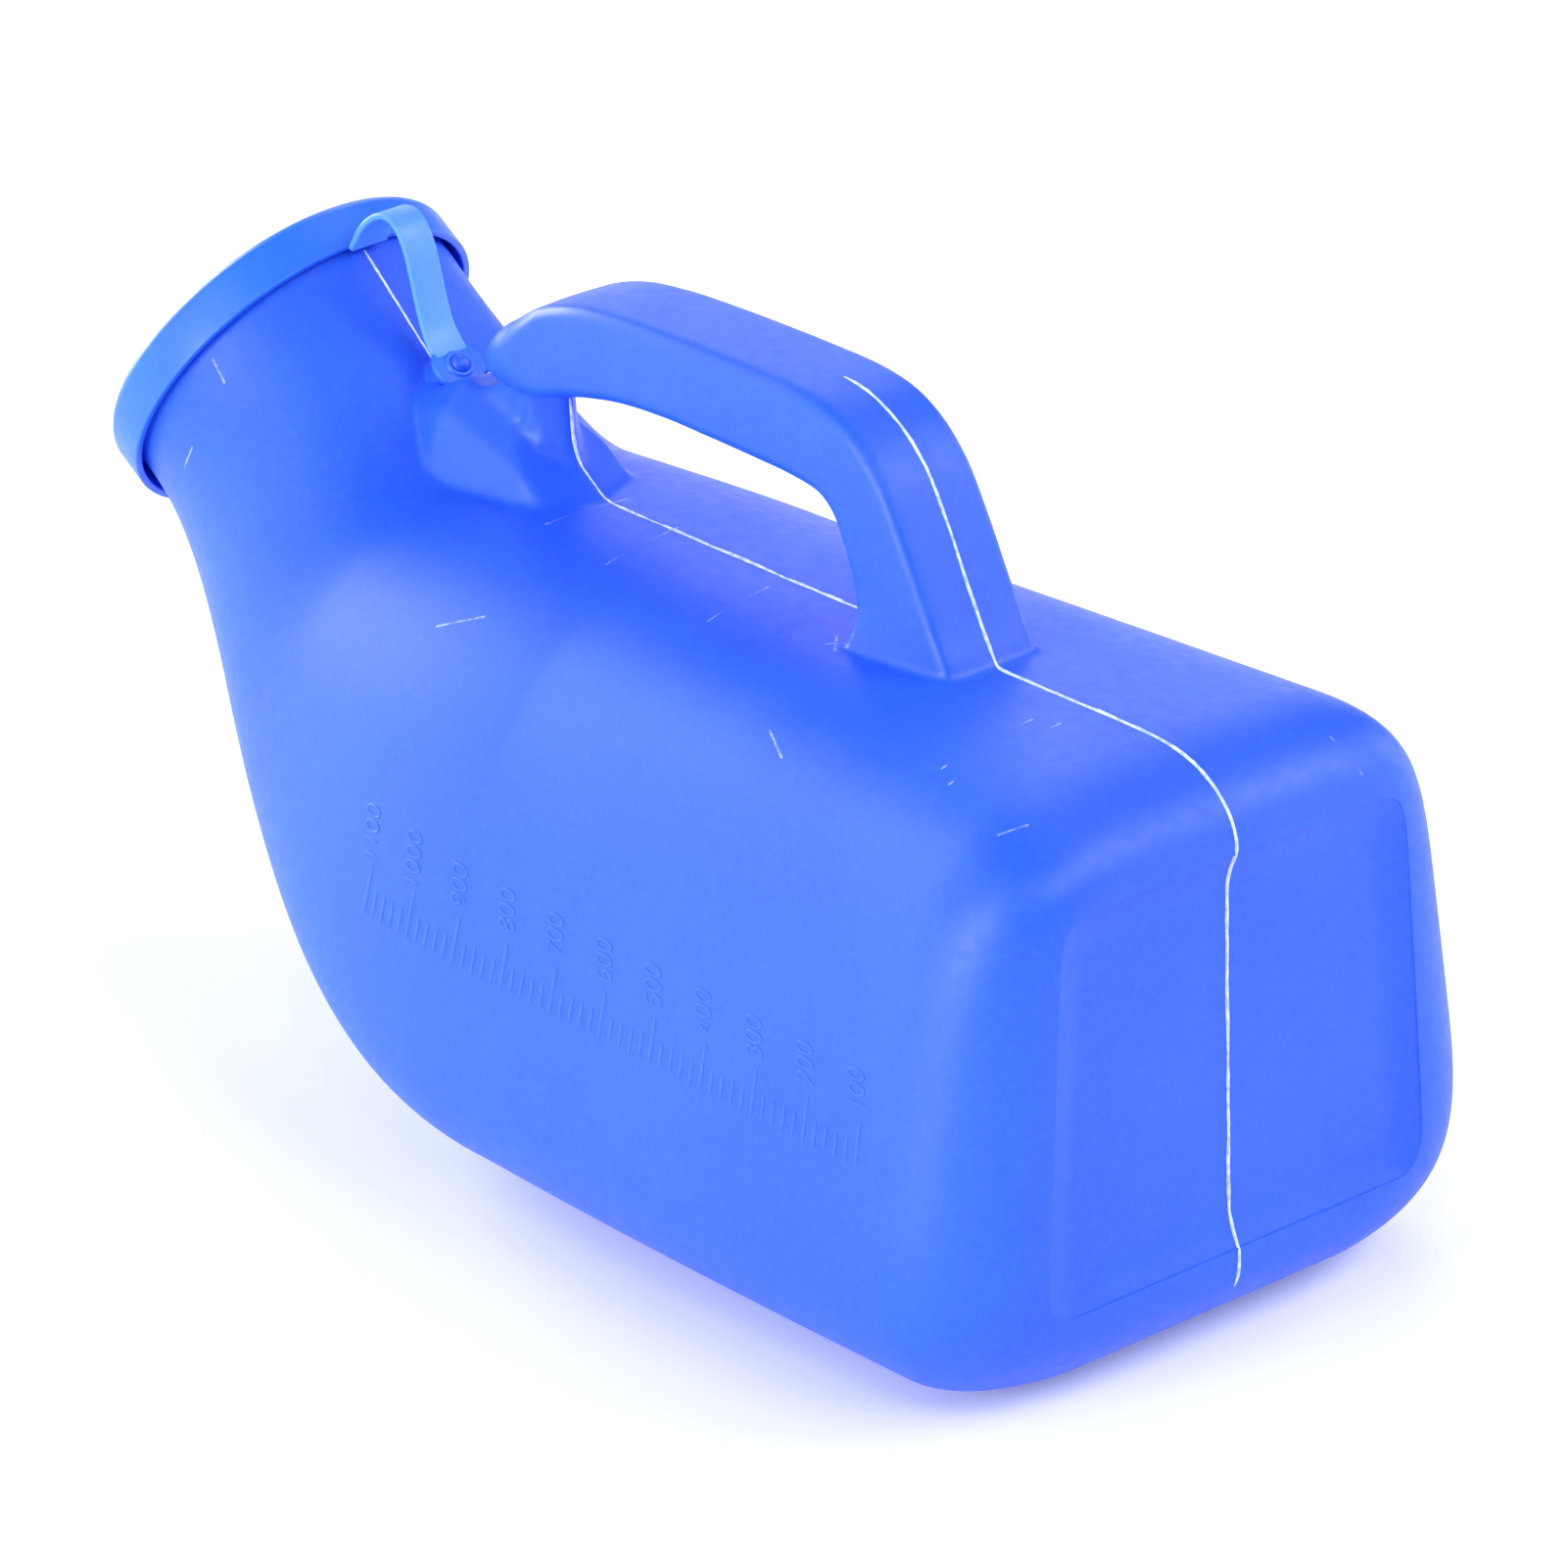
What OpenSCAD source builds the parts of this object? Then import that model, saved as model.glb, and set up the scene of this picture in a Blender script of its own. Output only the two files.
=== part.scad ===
// Lying urine bottle with a snap lid on a flexible tether. Millimetres.
// +X runs from the base end to the mouth, +Z is up when the bottle lies on its flat side.

/* [Body] */
// Height of the flat-sided body
body_height = 95; // [80:1:110]
// Half width of the body at the underside, base end
half_width_low = 59.2; // [45:0.1:70]
// Half width of the body at the top, base end
half_width_high = 46.2; // [35:0.1:60]
// Half width at the underside where the belly starts to rise
half_width_low_front = 68.0; // [45:0.1:75]
// Half width at the top where the neck starts to rise
half_width_high_front = 40.5; // [35:0.1:60]
// Length of the straight underside
flat_length = 115; // [80:1:140]
// Distance from the base end to the corner under the neck
corner_x = 168.5; // [140:0.5:190]
// Height of that corner
corner_z = 96.5; // [80:0.5:120]
// Fillet of that corner
corner_fillet = 7; // [1:0.5:20]
// Squareness of the body section, lower half, base end
square_low = 4.2; // [2:0.1:8]
// Squareness of the body section, upper half, base end
square_high = 4.5; // [2:0.1:8]
// Squareness of the body section where the belly starts
square_front = 2.8; // [2:0.1:8]
// Squareness of the top of the section where the neck starts
square_top_front = 3.1; // [2:0.1:8]
// Length of the rounding at the base end
round_length = 19; // [5:0.5:30]
// Depth of that rounding at the sides, low down
round_side_low = 19; // [5:0.5:30]
// Depth of that rounding at the sides, high up
round_side_high = 14; // [5:0.5:30]
// Depth of that rounding at the top
round_top = 12; // [5:0.5:30]
// Depth of that rounding at the underside
round_low = 15; // [5:0.5:30]
// Wall thickness
wall = 1.4; // [0.8:0.1:3]

/* [Base panel] */
// Depth of the panel sunk into the base end
panel_depth = 2.2; // [0.5:0.1:5]
// Half width of the panel at its lower edge
panel_half_low = 38.8; // [25:0.1:45]
// Half width of the panel at its upper edge
panel_half_high = 34.6; // [25:0.1:45]
// Height of the panel's lower edge
panel_bottom = 17.6; // [15.5:0.1:25]
// Height of the panel's upper edge
panel_top = 81.6; // [70:0.1:83]
// Width of the bevel inside the panel's edge
panel_bevel = 6.5; // [1:0.1:10]

/* [Neck and mouth] */
// X of the mouth centre, at the lid's lower edge
mouth_x = 214.7; // [180:0.1:240]
// Z of the mouth centre, at the lid's lower edge
mouth_z = 97.9; // [70:0.1:130]
// Rise of the mouth axis above level
mouth_tilt = 33.7; // [10:0.1:60]
// Outer radius of the neck at the mouth
neck_radius = 29.5; // [20:0.1:40]
// Height of the plain rim above the neck
rim_height = 6.8; // [4:0.1:12]
// How far the rim's bead stands out
bead_out = 0.25; // [0.1:0.05:1]
// Pull of the belly curve along the underside
belly_pull = 61.8; // [20:0.5:100]
// Pull of the belly curve along the neck
neck_pull = 33.5; // [10:0.5:80]

/* [Lid] */
// Outer radius of the lid's skirt
lid_radius = 31.8; // [25:0.1:40]
// Height of the lid
lid_height = 8.6; // [5:0.1:15]
// Thickness of the skirt
skirt_wall = 1.2; // [0.8:0.1:2]
// Thickness of the lid's plate
plate_thick = 1.5; // [0.8:0.1:3]
// Radius of the sealing ring under the plate
seal_radius = 25.4; // [20:0.1:28]
// Depth of the sealing ring
seal_depth = 1.8; // [0.5:0.1:3]

/* [Tether] */
// Width of the strap
strap_width = 6.6; // [4:0.1:12]
// Thickness of the strap
strap_thick = 1.1; // [0.6:0.1:2]
// X of the hinge line at the crest of the strap's arch
arch_x = 189.1; // [170:0.1:200]
// Z of the hinge line at the crest of the strap's arch
arch_z = 131.4; // [120:0.1:140]
// Radius of the eyelet
eyelet_radius = 4.5; // [3:0.1:8]
// Clearance round the eyelet
eyelet_gap = 0.35; // [0.1:0.05:1]
// Radius of the hole in the eyelet
eyelet_hole = 1.4; // [1:0.05:2]
// X of the stud, at the eyelet's upper face
stud_x = 175.4; // [165:0.1:185]
// Z of the stud, at the eyelet's upper face
stud_z = 109.3; // [100:0.1:120]
// Radius of the stud's domed head
stud_head = 1.75; // [1.5:0.05:3]

/* [Handle] */
// Half width of the grip
grip_half = 9.3; // [6:0.1:14]
// Half width of the foot at its front, where the grip meets the body
foot_half = 11.6; // [8:0.1:18]
// Half width of the foot at its rear
heel_half = 8.9; // [6:0.1:14]
// Squareness of the grip's section
grip_square = 7; // [2:0.5:9]
// Half width of the web between grip and neck
web_half = 4.7; // [2:0.1:8]
// Half width of the raised saddle under the web, at its crest
saddle_half = 9; // [6:0.1:14]

/* [Volume scale] */
// Distance between the 100 ml marks
mark_step = 11.3; // [8:0.05:15]
// X of the first mark
mark_first = 24.3; // [15:0.1:40]
// Number of 100 ml marks
mark_count = 11; // [1:1:12]
// How far the marks stand out
mark_out = 0.35; // [0.1:0.05:1]

/* [Hidden] */

body_blue = [0.19, 0.38, 0.95];
lid_blue = [0.22, 0.48, 0.97];
line_white = [0.80, 0.86, 1.00];

centre_x = 119.6;
columns = 64;
fan_rows = 20;
round_rows = 5;
straight_rows = 3;
flat_cut = 0.985;

axis_dir = [cos(mouth_tilt), sin(mouth_tilt)];
across_dir = [-sin(mouth_tilt), cos(mouth_tilt)];
mouth = [mouth_x, mouth_z];
lip_high = mouth + neck_radius * across_dir;
lip_low = mouth - neck_radius * across_dir;
corner = [corner_x, corner_z];

function ease(t) = t * t * (3 - 2 * t);
function mix(a, b, t) = a + (b - a) * t;
function unit(v) = v / norm(v);

// The top line of the body, from the base end to the corner.
function top_z(x) = mix(body_height, corner_z, x / corner_x);
top_start = [flat_length, top_z(flat_length)];
to_corner = unit(corner - top_start);
from_corner = unit(lip_high - corner);
fillet_in = corner - corner_fillet * to_corner;
fillet_out = corner + corner_fillet * from_corner;
run_flat = norm(fillet_in - top_start);
run_fillet = norm(corner - fillet_in) + norm(fillet_out - corner);
run_neck = norm(lip_high - fillet_out);
run_all = run_flat + run_fillet + run_neck;

function curve2(a, b, c, t) = (1-t)*(1-t)*a + 2*(1-t)*t*b + t*t*c;
function curve3(a, b, c, d, t) =
    (1-t)*(1-t)*(1-t)*a + 3*(1-t)*(1-t)*t*b + 3*(1-t)*t*t*c + t*t*t*d;

function top_line(t) =
    let (s = t * run_all)
    s < run_flat ? mix(top_start, fillet_in, s / run_flat) :
    s < run_flat + run_fillet ? curve2(fillet_in, corner, fillet_out, (s - run_flat) / run_fillet) :
    mix(fillet_out, lip_high, (s - run_flat - run_fillet) / run_neck);
function low_line(t) = curve3([flat_length, 0], [flat_length + belly_pull, 0],
    lip_low - neck_pull * axis_dir, lip_low, t);

// One ring of the body: low point, high point, half widths, squareness, flat cut, inset.
function ring(low, high, wl, wh, nl, nh, cut, inset) =
    let (span = norm(high - low), dir = (high - low) / span,
         a = low + dir * inset, b = high - dir * inset)
    [for (i = [0 : columns - 1])
        let (ang = 360 * i / columns, c = cos(ang), s = sin(ang),
             n = s > 0 ? nh : nl,
             r = pow(pow(abs(c), n) + pow(abs(s), n), -1 / n),
             up = max(r * s, -cut),
             p = mix(a, b, (up + cut) / (1 + cut)),
             w = (wl + wh) / 2 - (wl - wh) / 2 * up - inset)
        [p[0] - centre_x, w * r * c, p[1]]];

// A ring of the straight body. in = [low side, high side, top, underside] draws it in, and
// n = [lower, upper] is its squareness at the base end.
function straight_ring(x, in, n, inset) =
    let (t = x / flat_length,
         wl = mix(half_width_low, half_width_low_front, t) - in[0],
         wh = mix(half_width_high, half_width_high_front, t) - in[1])
    ring([x, in[3]], [x, top_z(x) - in[2]], wl, wh,
         mix(n[0], square_front, t), mix(n[1], square_top_front, t), flat_cut, inset);

// The rounded end. turn runs from 0 at the rim to 90 on the straight body.
function round_ring(turn, back, inset) =
    let (x = round_length * (1 - cos(turn)), k = 1 - sin(turn))
    straight_ring(back + x * (1 - back / round_length),
                  [round_side_low * k, round_side_high * k, round_top * k, round_low * pow(k, 0.8)],
                  [mix(square_low, 4, k), mix(square_high, 9, k)], inset);

function fan_ring(t, inset) =
    let (k = ease(t))
    ring(low_line(t), top_line(t),
         mix(half_width_low_front, neck_radius, k), mix(half_width_high_front, neck_radius, k),
         mix(square_front, 2, k), mix(square_top_front, 2, k), mix(flat_cut, 1, k), inset);

function panel_ring(x, grow) =
    ring([x, panel_bottom + grow], [x, panel_top - grow],
         panel_half_low - grow, panel_half_high - grow, 9, 9, flat_cut, 0);

function body_rows(back, inset) = concat(
    [for (i = [0 : round_rows]) round_ring(90 * i / (round_rows + 1), back, inset)],
    [for (i = [0 : straight_rows])
        straight_ring(mix(round_length, flat_length, i / (straight_rows + 1)), [0, 0, 0, 0],
                      [square_low, square_high], inset)],
    [fan_ring(0, inset)]);
function neck_rows(inset) = [for (i = [0 : fan_rows]) fan_ring(i / fan_rows, inset)];

body_out = concat(
    [panel_ring(panel_depth, panel_bevel), panel_ring(0, 0)],
    body_rows(0, 0));
body_in = concat(
    [panel_ring(panel_depth + wall, panel_bevel + 2)],
    body_rows(panel_depth + wall, wall));
shell_out = concat(body_out, [for (i = [1 : fan_rows]) fan_ring(i / fan_rows, 0)]);

function joined(rows) = [for (r = rows) for (p = r) p];
function reversed(rows) = [for (i = [len(rows) - 1 : -1 : 0]) rows[i]];
function mean(pts) = [for (k = [0 : 2]) [for (p = pts) p[k]] * [for (p = pts) 1] / len(pts)];

// Closes a stack of rings with a point at each end.
module ring_solid(rows) {
    m = len(rows[0]);
    n = len(rows);
    points = concat(joined(rows), [mean(rows[0]), mean(rows[n - 1])]);
    first = m * n;
    faces = concat(
        [for (i = [0 : m - 1]) [first, i, (i + 1) % m]],
        [for (j = [0 : n - 2]) for (i = [0 : m - 1])
            [j * m + i, (j + 1) * m + i, j * m + (i + 1) % m]],
        [for (j = [0 : n - 2]) for (i = [0 : m - 1])
            [j * m + (i + 1) % m, (j + 1) * m + i, (j + 1) * m + (i + 1) % m]],
        [for (i = [0 : m - 1]) [first + 1, (n - 1) * m + (i + 1) % m, (n - 1) * m + i]]);
    polyhedron(points, faces, convexity = 6);
}

// Joins a stack of rings into a tube whose last ring meets the first.
module tube_solid(rows) {
    m = len(rows[0]);
    n = len(rows);
    faces = concat(
        [for (j = [0 : n - 1]) for (i = [0 : m - 1])
            [j * m + i, ((j + 1) % n) * m + i, j * m + (i + 1) % m]],
        [for (j = [0 : n - 1]) for (i = [0 : m - 1])
            [j * m + (i + 1) % m, ((j + 1) % n) * m + i, ((j + 1) % n) * m + (i + 1) % m]]);
    polyhedron(joined(rows), faces, convexity = 6);
}

module bottle_shell() {
    color(body_blue)
    ring_solid(concat(body_out, reversed(body_in)));
}

// The belly and neck, from the end of the straight underside to the mouth.
module neck_shell() {
    color(body_blue)
    tube_solid(concat(neck_rows(0), reversed(neck_rows(wall))));
}

module at_mouth() {
    translate([mouth_x - centre_x, 0, mouth_z])
    rotate([0, 90 - mouth_tilt, 0])
    children();
}

module neck_rim() {
    color(body_blue)
    at_mouth()
    rotate_extrude($fn = 96)
    polygon([
        [neck_radius - wall, 0],
        [neck_radius, 0],
        [neck_radius, rim_height - 2.2],
        [neck_radius + bead_out, rim_height - 1.6],
        [neck_radius + bead_out, rim_height - 0.6],
        [neck_radius - 0.4, rim_height],
        [neck_radius - wall + 0.3, rim_height],
        [neck_radius - wall, rim_height - 0.3]
    ]);
}

// Grip stations: outer point and inner point in the XZ plane, then the half widths at each.
grip_line = [
    [[161.4, 116.0], [161.0, 114.3], 3.6, 3.6],
    [[160.2, 118.9], [159.6, 113.0], 7.0, 7.0],
    [[157.9, 122.0], [157.2, 112.3], 8.6, 8.6],
    [[152.8, 125.4], [152.4, 112.2], grip_half, grip_half],
    [[146.0, 129.1], [146.6, 113.6], grip_half, grip_half],
    [[138.0, 131.6], [138.4, 116.0], grip_half, grip_half],
    [[128.0, 132.8], [127.9, 118.0], grip_half, grip_half],
    [[117.0, 133.2], [116.5, 118.7], grip_half, grip_half],
    [[106.0, 133.3], [106.0, 118.5], grip_half, grip_half],
    [[95.0, 133.2], [96.0, 118.2], grip_half, grip_half],
    [[84.5, 132.8], [87.6, 117.8], grip_half, grip_half],
    [[76.8, 131.2], [81.5, 116.8], grip_half, grip_half],
    [[70.9, 127.9], [78.4, 114.6], grip_half, grip_half],
    [[66.0, 122.9], [76.2, 110.8], grip_half, grip_half],
    [[61.4, 114.9], [74.2, 105.8], grip_half, grip_half],
    [[57.6, 107.4], [72.9, 101.6], mix(grip_half, heel_half, 0.4), mix(grip_half, foot_half, 0.2)],
    [[54.6, 101.4], [72.6, 98.6], mix(grip_half, heel_half, 0.8), mix(grip_half, foot_half, 0.6)],
    [[51.6, 95.8], [73.4, 96.0], heel_half, foot_half],
    [[51.0, 94.4], [73.6, 94.4], heel_half, foot_half]
];
grip_columns = 28;

function grip_ring(st, inset) =
    let (mid = (st[0] + st[1]) / 2, half = norm(st[0] - st[1]) / 2 - inset,
         dir = unit(st[0] - st[1]))
    [for (i = [0 : grip_columns - 1])
        let (ang = 360 * i / grip_columns, c = cos(ang), s = sin(ang),
             r = pow(pow(abs(c), grip_square) + pow(abs(s), grip_square), -1 / grip_square),
             p = mid + dir * half * r * s, w = mix(st[3], st[2], (1 + r * s) / 2) - inset)
        [p[0] - centre_x, w * r * c, p[1]]];

// The hollow runs out through the foot, so its last station goes a little lower.
function sunk(i) =
    i < len(grip_line) - 1 ? grip_line[i] :
    [grip_line[i][0] - [0.2, 0.6], grip_line[i][1] - [0, 0.6], grip_line[i][2], grip_line[i][3]];

module grip_handle() {
    last = len(grip_line) - 1;
    color(body_blue)
    difference() {
        ring_solid([for (i = [last : -1 : 0]) grip_ring(grip_line[i], 0)]);
        ring_solid([for (i = [last : -1 : 3]) grip_ring(sunk(i), wall)]);
    }
}

// The web and its saddle: stations along X with the heights of web top, saddle crest and foot.
module side_prism(points, half) {
    translate([-centre_x, half, 0])
    rotate([90, 0, 0])
    linear_extrude(2 * half)
    polygon(points);
}

neck_normal = [-from_corner[1], from_corner[0]];
stud = [stud_x, stud_z];
boss_turn = atan2(from_corner[1], from_corner[0]);

module at_stud() {
    translate([stud_x - centre_x, 0, stud_z])
    rotate([0, -boss_turn, 0])
    children();
}

web_profile = [
    [141.5, 94.6], [142.2, 96.4], [145.2, 98.8], [147.2, 102.4], [148.3, 107],
    [148.6, 115.2], [153.5, 114.6], [157.4, 114.8], [160.5, 111.4], [166.0, 108.8],
    [169.2, 107.8], [170.2, 104.6], [176.0, 103.4], [179.0, 103.6], [168.7, 93.6], [165, 94.2]
];
saddle_profile = [
    [143.5, 94], [144.6, 96.4], [149.9, 100.2], [160.0, 103.4], [168.5, 105.9],
    [173.6, 105.0], [177.8, 103.8], [180.0, 103.9], [168.7, 92.6], [165, 93]
];
roof_profile = [
    [145.2, 98.8], [147.4, 102.8], [158.0, 106.2], [167.6, 107.6], [169.6, 106.0], [165, 95]
];

module handle_web() {
    color(body_blue)
    union() {
        difference() {
            union() {
                side_prism(web_profile, web_half);
                hull() {
                    side_prism(saddle_profile, saddle_half);
                    side_prism(roof_profile, web_half);
                }
            }
            at_stud()
            translate([0, 0, -strap_thick])
            cylinder(h = 12, r = eyelet_radius + eyelet_gap, $fn = 64);
        }
        at_stud()
        translate([0, 0, -strap_thick - 5])
        cylinder(h = 5, r = 3.4, $fn = 48);
    }
}

// The raised line where the two mould halves meet, in the middle plane.
line_half = 0.3;
line_out = 0.35;
function mid_of(rows, i) = [rows[i][columns / 4][0] + centre_x, rows[i][columns / 4][2]];
function low_of(rows, i) = [rows[i][3 * columns / 4][0] + centre_x, rows[i][3 * columns / 4][2]];
top_edge = [for (i = [0 : len(shell_out) - 1]) mid_of(shell_out, i)];
low_edge = [for (i = [0 : len(shell_out) - 1]) low_of(shell_out, i)];
function tangent(pts, i) = unit(pts[min(i + 1, len(pts) - 1)] - pts[max(i - 1, 0)]);
function pushed(pts, d) = [for (i = [0 : len(pts) - 1])
    let (t = tangent(pts, i)) pts[i] + d * [-t[1], t[0]]];

module line_strip(pts, side) {
    translate([-centre_x, line_half, 0])
    rotate([90, 0, 0])
    linear_extrude(2 * line_half)
    polygon(concat(pushed(pts, side * line_out), reversed(pushed(pts, -side * 0.3))));
}

function slice(list, a, b) = [for (i = [a : b]) list[i]];
rim_row = 2;
flat_row = 3 + round_rows + straight_rows + 1;

module parting_line() {
    last = len(shell_out) - 1;
    color(line_white)
    union() {
        line_strip(slice(top_edge, rim_row, last), 1);
        line_strip([[panel_depth, panel_top - panel_bevel - 0.3],
                    [panel_depth, panel_bottom + panel_bevel + 0.3]], 1);
        line_strip(slice(low_edge, flat_row + 1, last), -1);
        line_strip([for (i = [10 : len(grip_line) - 3]) grip_line[i][0]], -1);
    }
}

// Long and short marks on the near side wall.
mark_low = 40.6;
short_mark = 4.2;
long_mark = 7.4;
function mark_z(x) = mark_low + 0.035 * (x - mark_first);
function side_half(up, wl, wh, n) =
    ((wl + wh) / 2 - (wl - wh) / 2 * up) * pow(max(1 - pow(abs(up), n), 0), 1 / n);
function straight_y(x, z) =
    let (t = x / flat_length, up = z / top_z(x) * (1 + flat_cut) - flat_cut)
    side_half(up, mix(half_width_low, half_width_low_front, t),
              mix(half_width_high, half_width_high_front, t),
              up > 0 ? mix(square_high, square_top_front, t) : mix(square_low, square_front, t));
// Which side of the fan line at t the point lies on, and a search for the line through it.
function ahead(p, t) =
    let (a = low_line(t), b = top_line(t))
    (b[0] - a[0]) * (p[1] - a[1]) - (b[1] - a[1]) * (p[0] - a[0]);
function fan_at(p, a, b, steps) =
    let (m = (a + b) / 2)
    steps == 0 ? m : ahead(p, m) < 0 ? fan_at(p, m, b, steps - 1) : fan_at(p, a, m, steps - 1);
function fan_y(p) =
    let (t = fan_at(p, 0, 1, 18), a = low_line(t), b = top_line(t), k = ease(t),
         cut = mix(flat_cut, 1, k),
         up = norm(p - a) / norm(b - a) * (1 + cut) - cut)
    side_half(up, mix(half_width_low_front, neck_radius, k),
              mix(half_width_high_front, neck_radius, k),
              mix(up > 0 ? square_top_front : square_front, 2, k));
function wall_y(x, z) = x < flat_length ? straight_y(x, z) : fan_y([x, z]);

module mark(x, length) {
    z0 = mark_z(x);
    y0 = wall_y(x, z0);
    y1 = wall_y(x, z0 + length);
    lean = atan2(y0 - y1, length);
    translate([x - centre_x, y0, z0])
    rotate([lean, 0, 0])
    translate([-0.35, -0.8, 0])
    cube([0.7, 0.8 + mark_out, length]);
}

module volume_scale() {
    color(body_blue)
    union() {
        for (i = [0 : mark_count - 1])
            mark(mark_first + i * mark_step, long_mark);
        for (i = [0 : mark_count - 2])
            for (j = [1 : 4])
                mark(mark_first + (i + j / 5) * mark_step, short_mark);
    }
}

module tether_stud() {
    color(body_blue)
    at_stud()
    rotate_extrude($fn = 48)
    polygon([
        [0, -strap_thick],
        [eyelet_hole - 0.06, -strap_thick],
        [eyelet_hole - 0.06, 0.08],
        [stud_head, 0.08],
        [stud_head, 0.35],
        [stud_head * 0.87, 0.95],
        [stud_head * 0.5, 1.4],
        [0, 1.55]
    ]);
}

foot = stud + from_corner * (eyelet_radius + 0.4);
arch = [arch_x, arch_z];

module tether_eyelet() {
    color(lid_blue)
    at_stud()
    difference() {
        union() {
            translate([0, 0, -strap_thick + 0.05])
            cylinder(h = strap_thick - 0.05, r = eyelet_radius, $fn = 64);
            translate([0, -strap_width / 2 + 0.6, -strap_thick + 0.05])
            cube([eyelet_radius + 0.35, strap_width - 1.2, strap_thick - 0.05]);
        }
        translate([0, 0, -2])
        cylinder(h = 4, r = eyelet_hole, $fn = 48);
    }
}

// A strap drawn along its outer line; side is +1 when the thickness lies to the right.
module strap_run(pts, width, start_turn, end_turn) {
    n = len(pts) - 1;
    inner = [for (i = [0 : n])
        let (t = tangent(pts, i),
             turn = i == 0 ? start_turn : i == n ? end_turn : 0,
             nrm = [t[1], -t[0]])
        pts[i] + strap_thick * (nrm + t * tan(turn))];
    translate([-centre_x, width / 2, 0])
    rotate([90, 0, 0])
    linear_extrude(width)
    polygon(concat(pts, reversed(inner)));
}

leg_line = [foot + [0.05, 0.1], [180.4, 115.2], [181.4, 118.8], [182.6, 123], [183.9, 126.8],
            [185.6, 129.6], [187.4, 131.0], arch + [-0.06, 0]];
tab_line = [arch + [0.06, 0], [191.4, 131.1], [193.8, 129.9], [195.6, 127.8], [196.5, 125.9]];

module tether_strap() {
    color(lid_blue)
    strap_run(leg_line, strap_width, -14, -13.5);
}

module lid_strap_tab() {
    color(lid_blue)
    difference() {
        strap_run(concat(tab_line, [[197.6, 124.9]]), strap_width, 9.5, 0);
        at_mouth()
        translate([0, 0, -20])
        cylinder(h = 60, r = lid_radius, $fn = 128);
    }
}

module lid_cap() {
    top = lid_height;
    color(lid_blue)
    at_mouth()
    rotate_extrude($fn = 128)
    polygon([
        [0, top - 0.8 - plate_thick],
        [seal_radius - 1.2, top - 0.8 - plate_thick],
        [seal_radius - 1.0, top - 0.8 - plate_thick - seal_depth],
        [seal_radius - 0.2, top - 0.8 - plate_thick - seal_depth],
        [seal_radius, rim_height + 0.1],
        [lid_radius - skirt_wall - 0.5, rim_height + 0.1],
        [lid_radius - skirt_wall, rim_height - 0.4],
        [lid_radius - skirt_wall, 0],
        [lid_radius, 0],
        [lid_radius - 0.35, top - 1.6],
        [lid_radius - 0.9, top - 0.5],
        [lid_radius - 2.0, top],
        [lid_radius - 4.0, top],
        [lid_radius - 5.0, top - 0.8],
        [0, top - 0.8]
    ]);
}

bottle_shell();
neck_shell();
neck_rim();
grip_handle();
handle_web();
parting_line();
volume_scale();
tether_stud();
tether_eyelet();
tether_strap();
lid_strap_tab();
lid_cap();
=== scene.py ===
"""Looks for the lying urine bottle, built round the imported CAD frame. Working lengths are millimetres."""

import math

import bmesh
import bpy
import numpy as np
import openvdb
from mathutils import Matrix, Vector
from mathutils.bvhtree import BVHTree


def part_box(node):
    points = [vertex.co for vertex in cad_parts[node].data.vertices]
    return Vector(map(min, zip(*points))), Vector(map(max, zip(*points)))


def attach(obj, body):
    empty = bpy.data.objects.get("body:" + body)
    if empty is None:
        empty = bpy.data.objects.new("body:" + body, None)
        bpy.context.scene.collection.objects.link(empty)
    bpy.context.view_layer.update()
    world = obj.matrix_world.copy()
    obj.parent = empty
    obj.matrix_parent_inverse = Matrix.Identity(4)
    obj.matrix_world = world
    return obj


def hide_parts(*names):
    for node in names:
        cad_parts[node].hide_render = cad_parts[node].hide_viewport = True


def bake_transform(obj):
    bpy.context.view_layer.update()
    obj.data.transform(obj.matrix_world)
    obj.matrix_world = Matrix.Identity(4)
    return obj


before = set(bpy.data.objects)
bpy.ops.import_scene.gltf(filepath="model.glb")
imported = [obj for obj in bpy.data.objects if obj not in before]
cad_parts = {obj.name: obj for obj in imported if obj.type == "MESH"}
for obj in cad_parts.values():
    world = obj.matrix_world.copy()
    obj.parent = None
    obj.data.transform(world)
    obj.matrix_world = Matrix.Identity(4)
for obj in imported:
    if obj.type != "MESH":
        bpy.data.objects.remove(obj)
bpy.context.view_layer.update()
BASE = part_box("bottle_shell")[0].x * 1000
rng = np.random.default_rng(7)


# ---------------------------------------------------------------- camera
def camera():
    azimuth, elevation, roll = (math.radians(v) for v in (229.086, 23.897, 1.460))
    back = np.array([math.sin(azimuth) * math.cos(elevation),
                     -math.cos(azimuth) * math.cos(elevation), math.sin(elevation)])
    right = np.cross(-back, [0, 0, 1])
    right /= np.linalg.norm(right)
    down = np.cross(-back, right)
    side = right * math.cos(roll) + down * math.sin(roll)
    drop = -right * math.sin(roll) + down * math.cos(roll)
    look = np.array([104.5 + BASE, 0.0, 57.0])
    place = look + 2.67 * side - 2.55 * drop + 1555.88 * back
    data = bpy.data.cameras.new("camera")
    data.sensor_width = 36
    data.lens = 232.23
    data.clip_end = 50
    cam = bpy.data.objects.new("camera", data)
    bpy.context.scene.collection.objects.link(cam)
    axes = Matrix([side, -drop, back]).transposed().to_4x4()
    cam.matrix_world = Matrix.Translation(Vector(place / 1000)) @ axes
    bpy.context.scene.camera = cam


camera()


# ---------------------------------------------------------------- helpers
def mix(a, b, t):
    return a + (b - a) * t


def unit(v):
    v = np.asarray(v, float)
    return v / np.linalg.norm(v)


def ease(t):
    return t * t * (3 - 2 * t)


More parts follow.
